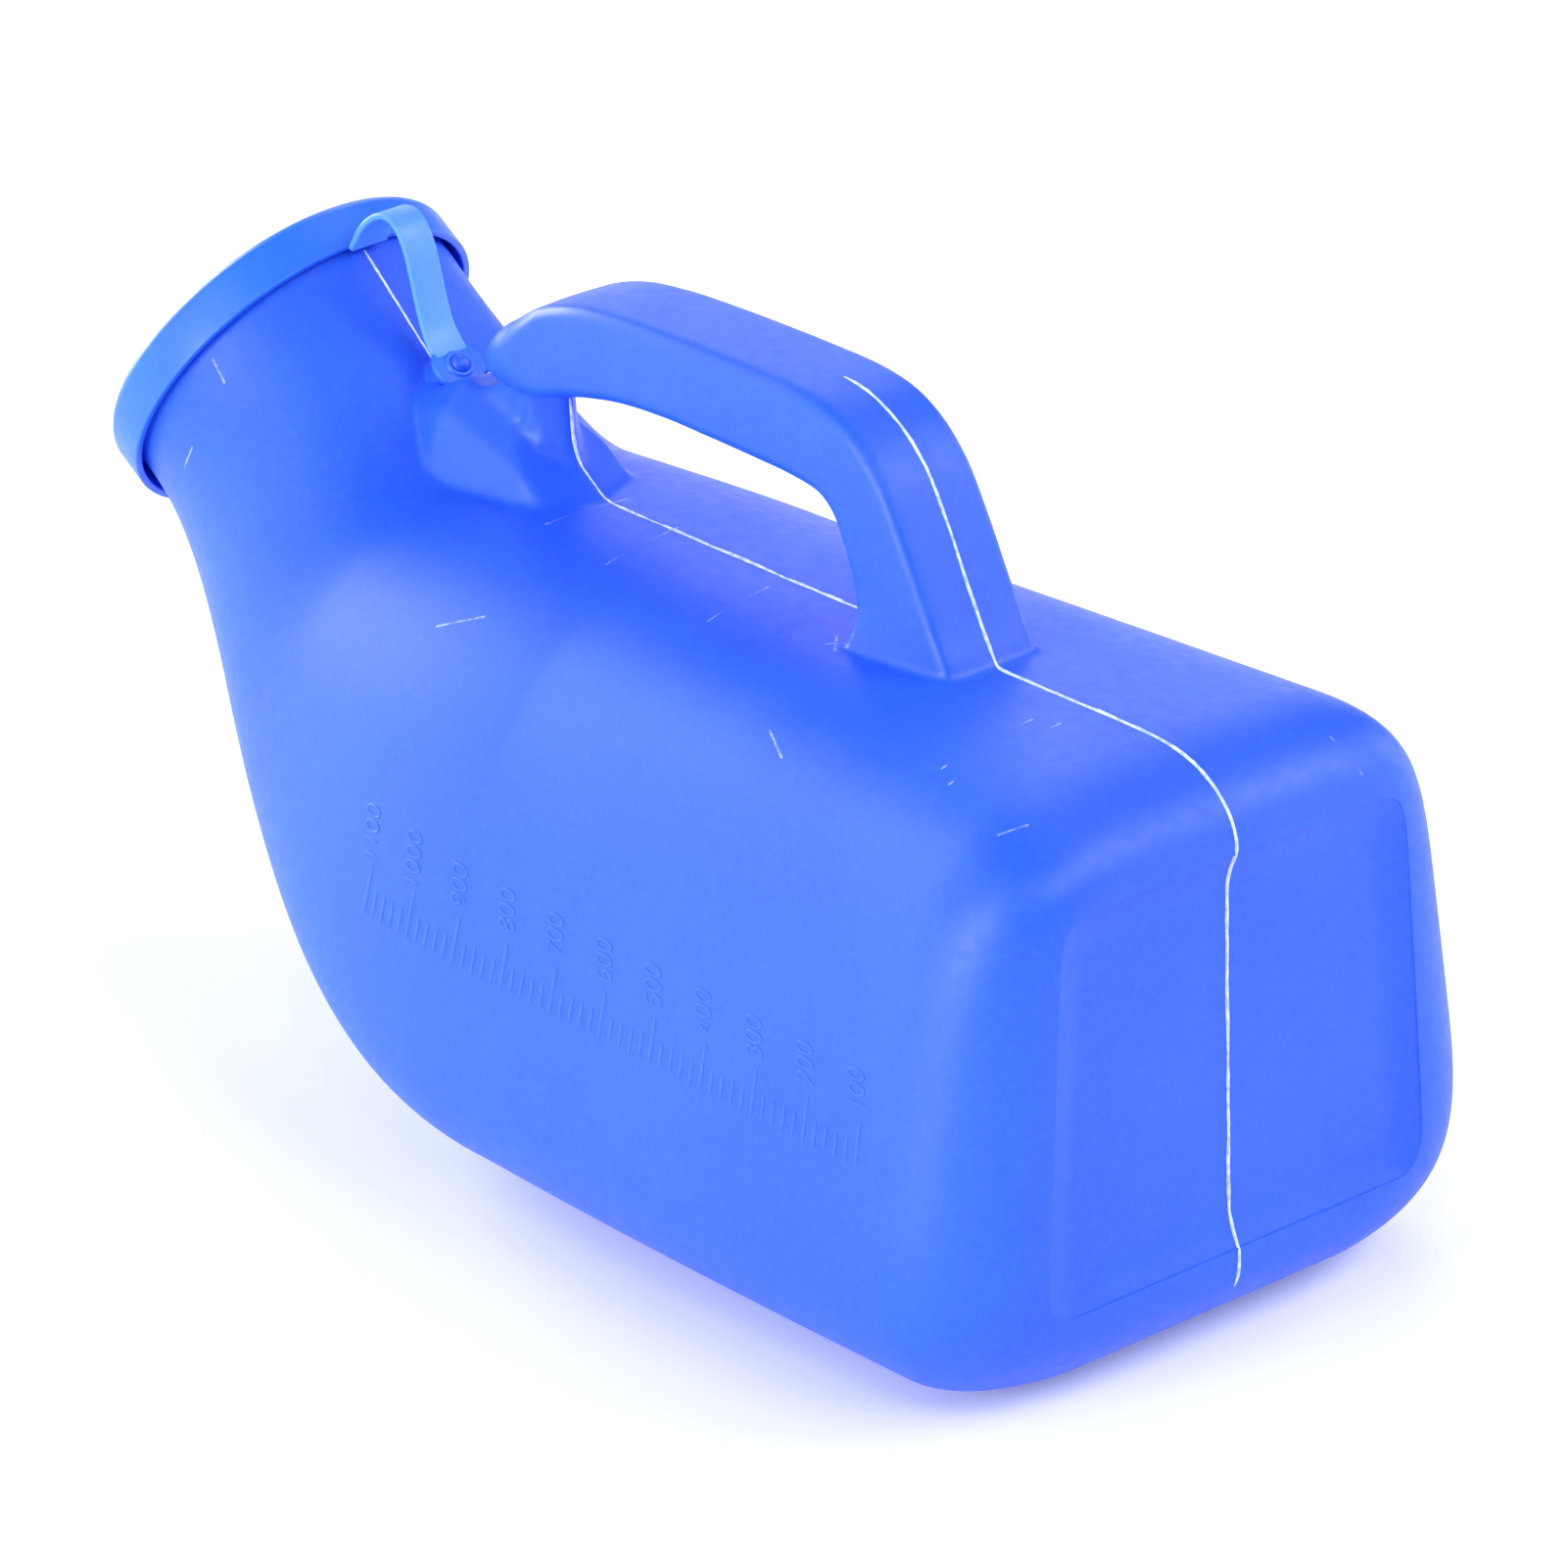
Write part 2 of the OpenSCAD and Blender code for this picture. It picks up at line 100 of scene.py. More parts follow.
def mesh_object(name, points, faces, smooth_angle=40):
    """A mesh from points in millimetres, measured from the base end."""
    co = np.asarray(points, float).copy()
    co[:, 0] += BASE
    mesh = bpy.data.meshes.new(name)
    mesh.from_pydata((co / 1000).tolist(), [], [list(map(int, f)) for f in faces])
    mesh.validate()
    mesh.update()
    obj = bpy.data.objects.new(name, mesh)
    bpy.context.scene.collection.objects.link(obj)
    shade(obj, smooth_angle)
    return obj


def shade(obj, angle):
    obj.data.shade_smooth()
    obj.data.set_sharp_from_angle(angle=math.radians(angle))


def apply_all(obj):
    bpy.context.view_layer.update()
    done = bpy.data.meshes.new_from_object(obj.evaluated_get(bpy.context.evaluated_depsgraph_get()))
    obj.modifiers.clear()
    obj.data = done


def outward(obj):
    bm = bmesh.new()
    bm.from_mesh(obj.data)
    bmesh.ops.recalc_face_normals(bm, faces=bm.faces)
    bm.to_mesh(obj.data)
    bm.free()


def grid_faces(rows, columns, closed=False):
    """Quads between rings of points; closed also joins the last ring to the first."""
    j, i = np.meshgrid(np.arange(rows if closed else rows - 1), np.arange(columns), indexing="ij")
    after, beside = (j + 1) % rows, (i + 1) % columns
    quads = [j * columns + i, j * columns + beside, after * columns + beside, after * columns + i]
    return np.stack(quads, -1).reshape(-1, 4)


def loft(rings):
    """Rings of the same length, closed round, with a fan to a middle point at each end."""
    rings = np.asarray(rings)
    n, m = rings.shape[:2]
    points = [rings.reshape(-1, 3)]
    faces = [tuple(f) for f in grid_faces(n, m)]
    for centre, row, flip in ((n * m, 0, False), (n * m + 1, n - 1, True)):
        points.append(rings[row].mean(0)[None])
        for i in range(m):
            a, b = row * m + i, row * m + (i + 1) % m
            faces.append((centre, a, b) if flip else (centre, b, a))
    return np.concatenate(points), faces


def points_of(obj):
    """The mesh's points in base millimetres."""
    co = np.empty(len(obj.data.vertices) * 3)
    obj.data.vertices.foreach_get("co", co)
    co = co.reshape(-1, 3) * 1000
    co[:, 0] -= BASE
    return co


def smooth_path(points, steps):
    """Catmull-Rom through the points, with centripetal spacing."""
    p = np.asarray(points, float)
    p = np.concatenate([[2 * p[0] - p[1]], p, [2 * p[-1] - p[-2]]])
    out = []
    for k in range(1, len(p) - 2):
        q = p[k - 1:k + 3]
        gaps = np.linalg.norm(np.diff(q[:, :2], axis=0), axis=1)
        t = np.concatenate([[0], np.cumsum(np.sqrt(gaps) + 1e-9)])
        for u in np.linspace(t[1], t[2], steps, endpoint=False):
            a = [(t[i + 1] - u) / (t[i + 1] - t[i]) * q[i] + (u - t[i]) / (t[i + 1] - t[i]) * q[i + 1]
                 for i in range(3)]
            b = [(t[i + 2] - u) / (t[i + 2] - t[i]) * a[i] + (u - t[i]) / (t[i + 2] - t[i]) * a[i + 1]
                 for i in range(2)]
            out.append((t[2] - u) / (t[2] - t[1]) * b[0] + (u - t[1]) / (t[2] - t[1]) * b[1])
    out.append(p[-2])
    return np.array(out)


def smooth_flat(points, steps):
    """The same for points in a plane."""
    return smooth_path([(*p, 0) for p in points], steps)[:, :2]


def even(path, step):
    """The path again, with points about one step apart."""
    path = np.asarray(path, float)
    run = np.concatenate([[0], np.cumsum(np.linalg.norm(np.diff(path, axis=0), axis=1))])
    n = max(int(run[-1] / step), 2)
    s = np.linspace(0, run[-1], n + 1)
    return np.stack([np.interp(s, run, path[:, k]) for k in range(path.shape[1])], 1)


# ---------------------------------------------------------------- the bottle's own lofts
# Side view, as (x from the base end, z).
HEIGHT = 95.0  # top of the base end
CORNER = np.array([168.5, 96.5])  # where the top would meet the neck
MOUTH = np.array([214.7, 97.9])  # middle of the mouth
TILT = 33.7  # degrees that the mouth's axis rises
NECK = 29.5  # radius at the mouth
FLAT = 115.0  # where the flat underside ends
# Half widths of a section near its low and its high end, at the base and at FLAT, and the squareness there.
LOW, HIGH = 59.2, 46.2
LOW_FRONT, HIGH_FRONT = 68.0, 40.5
SQUARE_BASE, SQUARE_FRONT = (4.2, 4.5), (2.8, 3.1)
CUT = 0.985  # a section's flat foot, as a share of its half height
WALL = 1.4
ROUND = 19  # length of the rounding at the base end
# The sunk base panel.
PANEL_LOW, PANEL_HIGH = 17.6, 81.6  # lowest and highest edge
PANEL_HALF = (38.8, 34.6)  # half widths there
PANEL_SQUARE = 14
PANEL = 2.2  # depth
BEVEL = 6.5  # width of its sloping edge
STEP, STEP_WIDTH = 0.24, 0.12  # the crisp step at its edge
AXIS = np.array([math.cos(math.radians(TILT)), math.sin(math.radians(TILT))])
ACROSS = np.array([-AXIS[1], AXIS[0]])
LIP_HIGH, LIP_LOW = MOUTH + NECK * ACROSS, MOUTH - NECK * ACROSS


def top_z(x):
    return mix(HEIGHT, CORNER[1], x / CORNER[0])


START = np.array([FLAT, top_z(FLAT)])
INTO, AWAY = unit(CORNER - START), unit(LIP_HIGH - CORNER)
FILLET = 7
FILLET_IN, FILLET_OUT = CORNER - FILLET * INTO, CORNER + FILLET * AWAY


def top_line(t):
    """The upper outline from the end of the straight part to the mouth, rounded at the corner."""
    runs = [np.linalg.norm(FILLET_IN - START), 2.0 * FILLET, np.linalg.norm(LIP_HIGH - FILLET_OUT)]
    s = t * sum(runs)
    if s < runs[0]:
        return mix(START, FILLET_IN, s / runs[0])
    if s < runs[0] + runs[1]:
        u = (s - runs[0]) / runs[1]
        return (1 - u) ** 2 * FILLET_IN + 2 * (1 - u) * u * CORNER + u * u * FILLET_OUT
    return mix(FILLET_OUT, LIP_HIGH, (s - runs[0] - runs[1]) / runs[2])


def low_line(t):
    """The belly's outline from the flat underside to the mouth, one cubic curve."""
    a, b = np.array([FLAT, 0.0]), np.array([FLAT + 61.8, 0.0])
    c, d = LIP_LOW - 33.5 * AXIS, LIP_LOW
    return (1 - t) ** 3 * a + 3 * (1 - t) ** 2 * t * b + 3 * (1 - t) * t * t * c + t ** 3 * d


def ring(low, high, wl, wh, nl, nh, cut, inset, m):
    """One section of m points, from its middle line's ends, half widths wl and wh, squareness nl and nh."""
    low, high = np.asarray(low, float), np.asarray(high, float)
    way = unit(high - low)
    a, b = low + way * inset, high - way * inset
    turn = 2 * np.pi * np.arange(m) / m
    c, s = np.cos(turn), np.sin(turn)
    n = np.where(s > 0, nh, nl)
    r = (np.abs(c) ** n + np.abs(s) ** n) ** (-1 / n)
    up = np.maximum(r * s, -cut)
    p = a + (b - a) * ((up + cut) / (1 + cut))[:, None]
    w = (wl + wh) / 2 - (wl - wh) / 2 * up - inset
    return np.stack([p[:, 0], w * r * c, p[:, 1]], 1)


def straight_ring(x, drawn, n, inset, m):
    """drawn is how far the low side, high side, top and underside come in; n the squareness low and high."""
    t = x / FLAT
    return ring([x, drawn[3]], [x, top_z(x) - drawn[2]],
                mix(LOW, LOW_FRONT, t) - drawn[0], mix(HIGH, HIGH_FRONT, t) - drawn[1],
                mix(n[0], SQUARE_FRONT[0], t), mix(n[1], SQUARE_FRONT[1], t), CUT, inset, m)


def round_ring(turn, back, inset, m):
    """A ring of the base's rounding, a quarter turn long; back is how far its end face stands in."""
    x, k = ROUND * (1 - math.cos(turn)), 1 - math.sin(turn)
    return straight_ring(back + x * (1 - back / ROUND), (19 * k, 14 * k, 12 * k, 15 * k ** 0.8),
                         (mix(SQUARE_BASE[0], 4, k), mix(SQUARE_BASE[1], 9, k)), inset, m)


def fan_ring(t, inset, m):
    """A ring between FLAT and the mouth, turning round from square."""
    k = ease(t)
    return ring(low_line(t), top_line(t), mix(LOW_FRONT, NECK, k), mix(HIGH_FRONT, NECK, k),
                mix(SQUARE_FRONT[0], 2, k), mix(SQUARE_FRONT[1], 2, k), mix(CUT, 1, k), inset, m)


def mouth_ring(ahead, radius, m):
    """A round ring across the mouth's axis, ahead of the lip."""
    p = MOUTH + AXIS * ahead
    return ring(p - radius * ACROSS, p + radius * ACROSS, radius, radius, 2, 2, 1, 0, m)


def panel_ring(x, grow, m):
    """The base panel's outline at x, drawn in by grow."""
    return ring([x, PANEL_LOW + grow], [x, PANEL_HIGH - grow], PANEL_HALF[0] - grow, PANEL_HALF[1] - grow,
                PANEL_SQUARE, PANEL_SQUARE, CUT, 0, m)


def panel_sink(grow):
    """Depth of the base panel at a distance in from its crisp edge."""
    step = STEP * min(max(grow / STEP_WIDTH, 0), 1)
    return step + (PANEL - step) * math.sin(math.pi / 2 * min(max(grow / BEVEL, 0), 1))


def outer_rings(m):
    """The shell's outside, from the base end to just past the lip."""
    rows = [panel_ring(0, grow, m) for grow in (30, 20, 10, 0.5)]
    for k in range(28):
        rows.append(round_ring(math.radians(90 * k / 28), 0, 0, m))
    for x in np.linspace(ROUND, FLAT, 34)[:-1]:
        rows.append(straight_ring(x, (0, 0, 0, 0), SQUARE_BASE, 0, m))
    for t in np.linspace(0, 1, 90):
        rows.append(fan_ring(t, 0, m))
    for ahead in (1, 2, 3, 4, 5):
        rows.append(mouth_ring(ahead, NECK, m))
    return np.array(rows)


def panel_rings(m):
    """The sunk end panel, as the solid that is taken away."""
    rows = [panel_ring(-3, 0, m), panel_ring(0, 0, m), panel_ring(panel_sink(STEP_WIDTH), STEP_WIDTH, m)]
    rows += [panel_ring(panel_sink(grow), grow, m) for grow in np.linspace(0, BEVEL, 20)[1:]]
    return np.array(rows + [panel_ring(PANEL, grow, m) for grow in (8, 12, 18, 24, 30)])


def inner_rings(m):
    """The hollow, which widens past the lip so that the mouth is cut open."""
    rows = [panel_ring(PANEL + WALL, g, m) for g in (28, 18, BEVEL + 2)]
    for k in range(10):
        rows.append(round_ring(math.radians(90 * k / 10), PANEL + WALL, WALL, m))
    for x in np.linspace(ROUND, FLAT, 8)[:-1]:
        rows.append(straight_ring(x, (0, 0, 0, 0), SQUARE_BASE, WALL, m))
    for t in np.linspace(0, 1, 40):
        rows.append(fan_ring(t, WALL, m))
    rows.append(mouth_ring(0, 40, m))
    rows.append(mouth_ring(9, 40, m))
    return np.array(rows)


# Grip stations in the XZ plane: outer point, inner point, half width at the outer and at the inner point.
GRIP = [
    (161.4, 116.0, 161.0, 114.3, 3.6, 3.6), (160.2, 118.9, 159.6, 113.0, 7.0, 7.0),
    (157.9, 122.0, 157.2, 112.3, 8.6, 8.6), (152.8, 125.4, 152.4, 112.2, 9.3, 9.3),
    (146.0, 129.1, 146.6, 113.6, 9.3, 9.3), (138.0, 131.6, 138.4, 116.0, 9.3, 9.3),
    (128.0, 132.8, 127.9, 118.0, 9.3, 9.3), (117.0, 133.2, 116.5, 118.7, 9.3, 9.3),
    (106.0, 133.3, 106.0, 118.5, 9.3, 9.3), (95.0, 133.2, 96.0, 118.2, 9.3, 9.3),
    (84.5, 132.8, 87.6, 117.8, 9.3, 9.3), (76.8, 131.2, 81.5, 116.8, 9.3, 9.3),
    (70.9, 127.9, 78.4, 114.6, 9.3, 9.3), (66.0, 122.9, 76.2, 110.8, 9.3, 9.3),
    (61.4, 114.9, 74.2, 105.8, 9.3, 9.3), (57.6, 107.4, 72.9, 101.6, 9.14, 9.76),
    (54.6, 101.4, 72.6, 98.6, 8.98, 10.7), (51.6, 95.8, 73.4, 96.0, 8.9, 11.6),
    (50.8, 92.4, 73.6, 92.4, 8.9, 11.8),
]


CROWN = 0.16  # how far a face of the grip bulges
DRAWN_IN = 0.17  # how far its rings come in, so that the bulge stays inside the CAD's box


def box_section(half_w, half_h, radius, corner=9, side=14):
    """A rectangle with round edges and slightly crowned faces, as (across, up) points."""
    radius = min(radius, half_w * 0.96, half_h * 0.96)
    across, up = half_w - radius, half_h - radius
    middles = [(across, up), (-across, up), (-across, -up), (across, -up)]

    def on_corner(k, degrees):
        a = math.radians(degrees)
        return middles[k][0] + radius * math.cos(a), middles[k][1] + radius * math.sin(a)

    pts = []
    for k in range(4):
        pts += [on_corner(k, 90 * k + 90 * j / (corner - 1)) for j in range(corner)]
        last, first = pts[-1], on_corner((k + 1) % 4, 90 * (k + 1))
        a = math.radians(90 * (k + 1))
        for j in range(1, side):
            u = j / side
            bulge = CROWN * math.sin(math.pi * u)
            pts.append((mix(last[0], first[0], u) + bulge * math.cos(a),
                        mix(last[1], first[1], u) + bulge * math.sin(a)))
    return np.array(pts)


def grip_rings():
    """The grip's rings; its edges are rounder towards the top and most of all at the nose."""
    rows = []
    for a0, a1, b0, b1, wa, wb in smooth_path(GRIP, 9):
        a, b = np.array([a0, a1]), np.array([b0, b1])
        half = np.linalg.norm(a - b) / 2 - DRAWN_IN
        radius = mix(1.9, 2.6, min(max((a1 - 100) / 25, 0), 1)) + mix(0, 4.0, min(max((a0 - 146) / 11, 0), 1))
        s = box_section((wa + wb) / 2, half, radius)
        s[:, 0] *= 1 + (wa - wb) / (wa + wb) * s[:, 1] / half
        p = (a + b) / 2 + unit(a - b)[None] * s[:, 1:2]
        rows.append(np.stack([p[:, 0], s[:, 0], p[:, 1]], 1))
    return np.array(rows)


# ---------------------------------------------------------------- one fused skin
VOXEL = 0.72


def level_set(points, faces):
    """A signed-distance grid, in voxels of VOXEL millimetres."""
    quads = np.array([f for f in faces if len(f) == 4], np.uint32).reshape(-1, 4)
    tris = np.array([f for f in faces if len(f) == 3], np.uint32).reshape(-1, 3)
    return openvdb.FloatGrid.createLevelSetFromPolygons(
        np.asarray(points, np.float32), triangles=tris, quads=quads,
        transform=openvdb.createLinearTransform(voxelSize=VOXEL), halfWidth=6.0)


def soft_min(a, b, k):
    """The smaller value, blended over a band k wide."""
    h = np.maximum(k - np.abs(a - b), 0) / k
    return np.minimum(a, b) - h * h * k / 4


def soft_max(a, b, k):
    return -soft_min(-a, -b, k)


def polygon_distance(x, z, corners):
    """Signed distance in the XZ plane, negative inside."""
    best = np.full(x.shape, 1e9)
    inside = np.zeros(x.shape, bool)
    n = len(corners)
    for i in range(n):
        (x0, z0), (x1, z1) = corners[i], corners[(i + 1) % n]
        dx, dz = x1 - x0, z1 - z0
        t = np.clip(((x - x0) * dx + (z - z0) * dz) / (dx * dx + dz * dz), 0, 1)
        best = np.minimum(best, np.hypot(x - x0 - t * dx, z - z0 - t * dz))
        if z0 != z1:
            inside ^= ((z0 > z) != (z1 > z)) & (x < dx * (z - z0) / dz + x0)
    return np.where(inside, -best, best)


# The saddle's crest, the web's outline and the stud's foot, as (x, z). The web's first eight are its rear.
CREST = np.array([[141.0, 93.0], [144.6, 96.4], [149.9, 100.2], [160.0, 103.4], [168.5, 105.9],
                  [173.6, 105.0], [177.8, 103.8], [181.5, 102.4]])
WEB = [(142.5, 93.6), (143.4, 96.4), (145.0, 98.2), (146.4, 100.4), (147.3, 103.2), (147.9, 106.4),
       (148.2, 110.0), (148.4, 116.0), (157.4, 116.0), (160.2, 112.2), (163.6, 109.8), (168.6, 107.9),
       (170.0, 104.6), (176.0, 103.0), (172.0, 97.0), (160.0, 93.0)]
STUD = np.array([175.4, 109.3])
NORMAL = np.array([-AWAY[1], AWAY[0]])  # straight up from the neck at the stud
BOSS, POCKET = 3.4, 4.95  # radii of the stud's boss and of the pocket for the eyelet
SEAT = 1.12  # how far the boss and the pocket's floor lie below the stud's foot


def web_fields(x, y, z):
    """Saddle and web as fields over a block of points."""
    x2, z2 = x[:, 0, :], z[:, 0, :]
    crest = np.interp(x2, CREST[:, 0], CREST[:, 1])
    over = z2 - crest
    wide = np.interp(x2, [170, 181], [9.0, 6.6])
    half = np.where(over < 0, wide - over * 0.36, wide - over * 1.06)
    rise = np.interp(x2, [169, 174], [4.4, 2.6])
    saddle2 = soft_max(np.maximum(x2 - 180.4, over - rise), 91.0 - z2, 0.8)
    saddle = soft_max((np.abs(y) - half[:, None, :]) * 0.80, saddle2[:, None, :], 0.8)
    facet = (140.0 + 0.5 * np.sqrt(y * y + 0.4) + 1.3 * (z - 96) - x) / 1.71
    saddle = soft_max(saddle, facet, 0.8)
    flat = polygon_distance(x2, z2, WEB)
    u = x2 + 0.28 * (z2 - 104)
    window = np.exp(-((u - 155.0) / 5.6) ** 2)
    fold = 0.34 * np.cos(2 * np.pi * (u - 151.2) / 3.3) * window
    rear = np.interp(z2, [z for x, z in WEB[:8]], [x for x, z in WEB[:8]])
    thick = soft_min(4.55 + fold - 0.02 * (x2 - 150), 0.5 + 0.95 * (x2 - rear), 0.8)
    web = soft_max((np.abs(y) - thick[:, None, :]) * 0.9, flat[:, None, :], 1.3)
    return saddle, web


def fused_skin():
    """Shell, grip, web and saddle as one skin, with search trees of the two lofts."""
    shell_points, shell_faces = loft(outer_rings(256))
    grip_points, grip_faces = loft(grip_rings())
    grids = [level_set(shell_points, shell_faces), level_set(grip_points, grip_faces)]
    low = np.floor(np.array([-4, -67, -4]) / VOXEL).astype(int)
    high = np.ceil(np.array([244, 67, 138]) / VOXEL).astype(int)
    fields = []
    for g in grids:
        block = np.empty(tuple(high - low), np.float32)
        g.copyToArray(block, ijk=tuple(int(v) for v in low))
        fields.append(block)
    body, grip = fields
    # The web and saddle only reach a small block of the space.
    a = np.floor((np.array([136.0, -20, 88]) / VOXEL) - low).astype(int)
    b = np.ceil((np.array([190.0, 20, 124]) / VOXEL) - low).astype(int)
    near = tuple(slice(p, q) for p, q in zip(a, b))
    axes = [(np.arange(p, q) + l) * VOXEL for p, q, l in zip(a, b, low)]
    x, y, z = np.meshgrid(*axes, indexing="ij")
    saddle, web = web_fields(x, y, z)
    along = (x - STUD[0]) * AWAY[0] + (z - STUD[1]) * AWAY[1]
    above = (x - STUD[0]) * NORMAL[0] + (z - STUD[1]) * NORMAL[1]
    reach = np.hypot(along, y)
    boss = soft_max(reach - BOSS, np.maximum(above + SEAT, -above - 8), 0.3)
    pocket = np.maximum(reach - POCKET, -above - SEAT)
    part = soft_min(body[near], saddle, 1.0)
    part = np.maximum(soft_min(part, web, 0.9), -pocket)
    part = soft_min(part, boss, 0.5)
    whole = soft_min(body, grip, 1.0)
    whole[near] = soft_min(part, grip[near], 1.0)
    grid = openvdb.FloatGrid(6 * VOXEL)
    grid.copyFromArray(whole.astype(np.float32), ijk=tuple(int(v) for v in low))
    grid.transform = openvdb.createLinearTransform(voxelSize=VOXEL)
    grid.gridClass = openvdb.GridClass.LEVEL_SET
    points, quads = grid.convertToQuads(isovalue=0.0)
    shell_tree = BVHTree.FromPolygons(shell_points.tolist(), [tuple(map(int, f)) for f in shell_faces])
    grip_tree = BVHTree.FromPolygons(grip_points.tolist(), [tuple(map(int, f)) for f in grip_faces])
    return points.astype(float), quads[:, ::-1].astype(int), shell_tree, grip_tree


def snap(points, shell_tree, grip_tree):
    """Points that only one loft made are drawn onto that loft; fillets stay where they are."""
    out = points.copy()
    high = (points[:, 2] > 90) & (np.abs(points[:, 1]) < 22)
    for i, p in enumerate(points):
        v = Vector(p)
        hit, _, _, d = shell_tree.find_nearest(v)
        if high[i]:
            hit2, _, _, d2 = grip_tree.find_nearest(v)
            webby = 138 < p[0] < 184 and p[2] < 118
            if webby:
                continue
            if d2 < 0.5 and d > 1.8:
                out[i] = hit2
            elif d < 0.5 and d2 > 1.8:
                out[i] = hit
        elif d < 0.8:
            out[i] = hit
    return out


def neighbours_mean(points, edges, count):
    """For each point, the middle of the points it shares an edge with."""
    total = np.zeros_like(points)
    np.add.at(total, edges[:, 0], points[edges[:, 1]])
    np.add.at(total, edges[:, 1], points[edges[:, 0]])
    return total / count[:, None]


def body_piece():
    """The blow moulding, hollow and with its sunk base panel, and the search tree of the shell's loft."""
    points, quads, shell_tree, grip_tree = fused_skin()
    edges = np.concatenate([quads[:, [0, 1]], quads[:, [1, 2]], quads[:, [2, 3]], quads[:, [3, 0]]])
    edges = np.unique(np.sort(edges, 1), axis=0)
    count = np.bincount(edges.ravel(), minlength=len(points))
    for _ in range(3):
        points = mix(points, neighbours_mean(points, edges, count), 0.5)
        points = mix(points, neighbours_mean(points, edges, count), -0.52)
    points = snap(points, shell_tree, grip_tree)
    for _ in range(2):
        points = mix(points, neighbours_mean(points, edges, count), 0.35)
    points = snap(points, shell_tree, grip_tree)
    obj = mesh_object("bottle_body", points, quads)
    outward(obj)
    thin = obj.modifiers.new("thin", "DECIMATE")
    thin.ratio = min(1.0, 86000 / len(quads))
    apply_all(obj)
    co = snap(points_of(obj), shell_tree, grip_tree)
    co[:, 0] += BASE
    obj.data.vertices.foreach_set("co", (co / 1000).ravel())
    obj.data.update()
    for rings in (inner_rings(128), panel_rings(384)):
        cutter = mesh_object("taken_away", *loft(rings))
        outward(cutter)
        cut = obj.modifiers.new("cut", "BOOLEAN")
        cut.operation, cut.solver, cut.object = "DIFFERENCE", "MANIFOLD", cutter
        apply_all(obj)
        bpy.data.objects.remove(cutter)
    shade(obj, 38)
    return obj, shell_tree


# ---------------------------------------------------------------- revolved pieces on the mouth axis
def turned(name, rows, angle, closed=False):
    """A solid from rings of points. Closed joins the last ring to the first, or else the ends are capped."""
    rings = np.array(rows)
    if closed:
        points, faces = rings.reshape(-1, 3), grid_faces(*rings.shape[:2], True)
    else:
        points, faces = loft(rings)
    obj = mesh_object(name, points, faces, angle)
    outward(obj)
    return obj


def at_mouth(profile, segments, name, closed=False):
    """Profile points are (radius, height along the mouth axis)."""
    turn = 2 * np.pi * np.arange(segments) / segments
    side = np.array([0.0, 1.0, 0.0])
    up = np.array([ACROSS[0], 0, ACROSS[1]])
    out = np.array([AXIS[0], 0, AXIS[1]])
    centre = np.array([MOUTH[0], 0, MOUTH[1]])
    rows = [centre + out * h + r * (np.cos(turn)[:, None] * side + np.sin(turn)[:, None] * up)
            for r, h in profile]
    return turned(name, rows, 35, closed)


def rounded(corners, radius, steps, closed=False):
    """Rounds each corner of a profile with a quadratic curve; radius has one number for each corner."""
    c = [np.asarray(p, float) for p in corners]
    n = len(c)
    out = []
    for i, p in enumerate(c):
        if not closed and i in (0, n - 1):
            out.append(p)
            continue
        a, b = c[i - 1], c[(i + 1) % n]
        r = min(radius[i], np.linalg.norm(a - p) * 0.48, np.linalg.norm(b - p) * 0.48)
        s, e = p + unit(a - p) * r, p + unit(b - p) * r
        for u in np.linspace(0, 1, steps):
            out.append((1 - u) ** 2 * s + 2 * (1 - u) * u * p + u * u * e)
    return out


# ---------------------------------------------------------------- strap
STRAP_W, STRAP_T, STRAP_EDGE = 6.1, 1.1, 0.42  # width, thickness and edge radius
ARCH = np.array([189.1, 131.4])  # crest of the arch
# The strap's outer line, from the eyelet to the lid.
LEG = [STUD + AWAY * 2.2, STUD + AWAY * 3.6 + NORMAL * 0.10, (179.7, 114.0), (181.1, 117.6), (182.3, 121.9),
       (183.6, 126.2), (185.3, 129.3), (187.1, 130.9), ARCH, (191.4, 130.9), (193.7, 129.4), (195.5, 127.4),
       (196.8, 125.2), (197.5, 124.0)]


def strap_piece(name, path, widths):
    """A flat strap with rounded edges; the path is its outer line."""
    tangent = np.gradient(path, axis=0)
    tangent /= np.linalg.norm(tangent, axis=1)[:, None]
    inward = np.stack([tangent[:, 1], -tangent[:, 0]], 1)
    r = STRAP_EDGE
    rows = []
    for k, place in enumerate(path):
        half = widths[k] / 2
        section = []
        for across, deep, start in ((half - r, r, 0), (half - r, STRAP_T - r, 90),
                                    (-half + r, STRAP_T - r, 180), (-half + r, r, 270)):
            for j in range(5):
                a = math.radians(start + 22.5 * j) - math.pi / 2
                section.append((across + r * math.cos(a), deep + r * math.sin(a)))
        rows.append([[*(place + inward[k] * d), y] for y, d in section])
    return turned(name, np.array(rows)[:, :, [0, 2, 1]], 50)


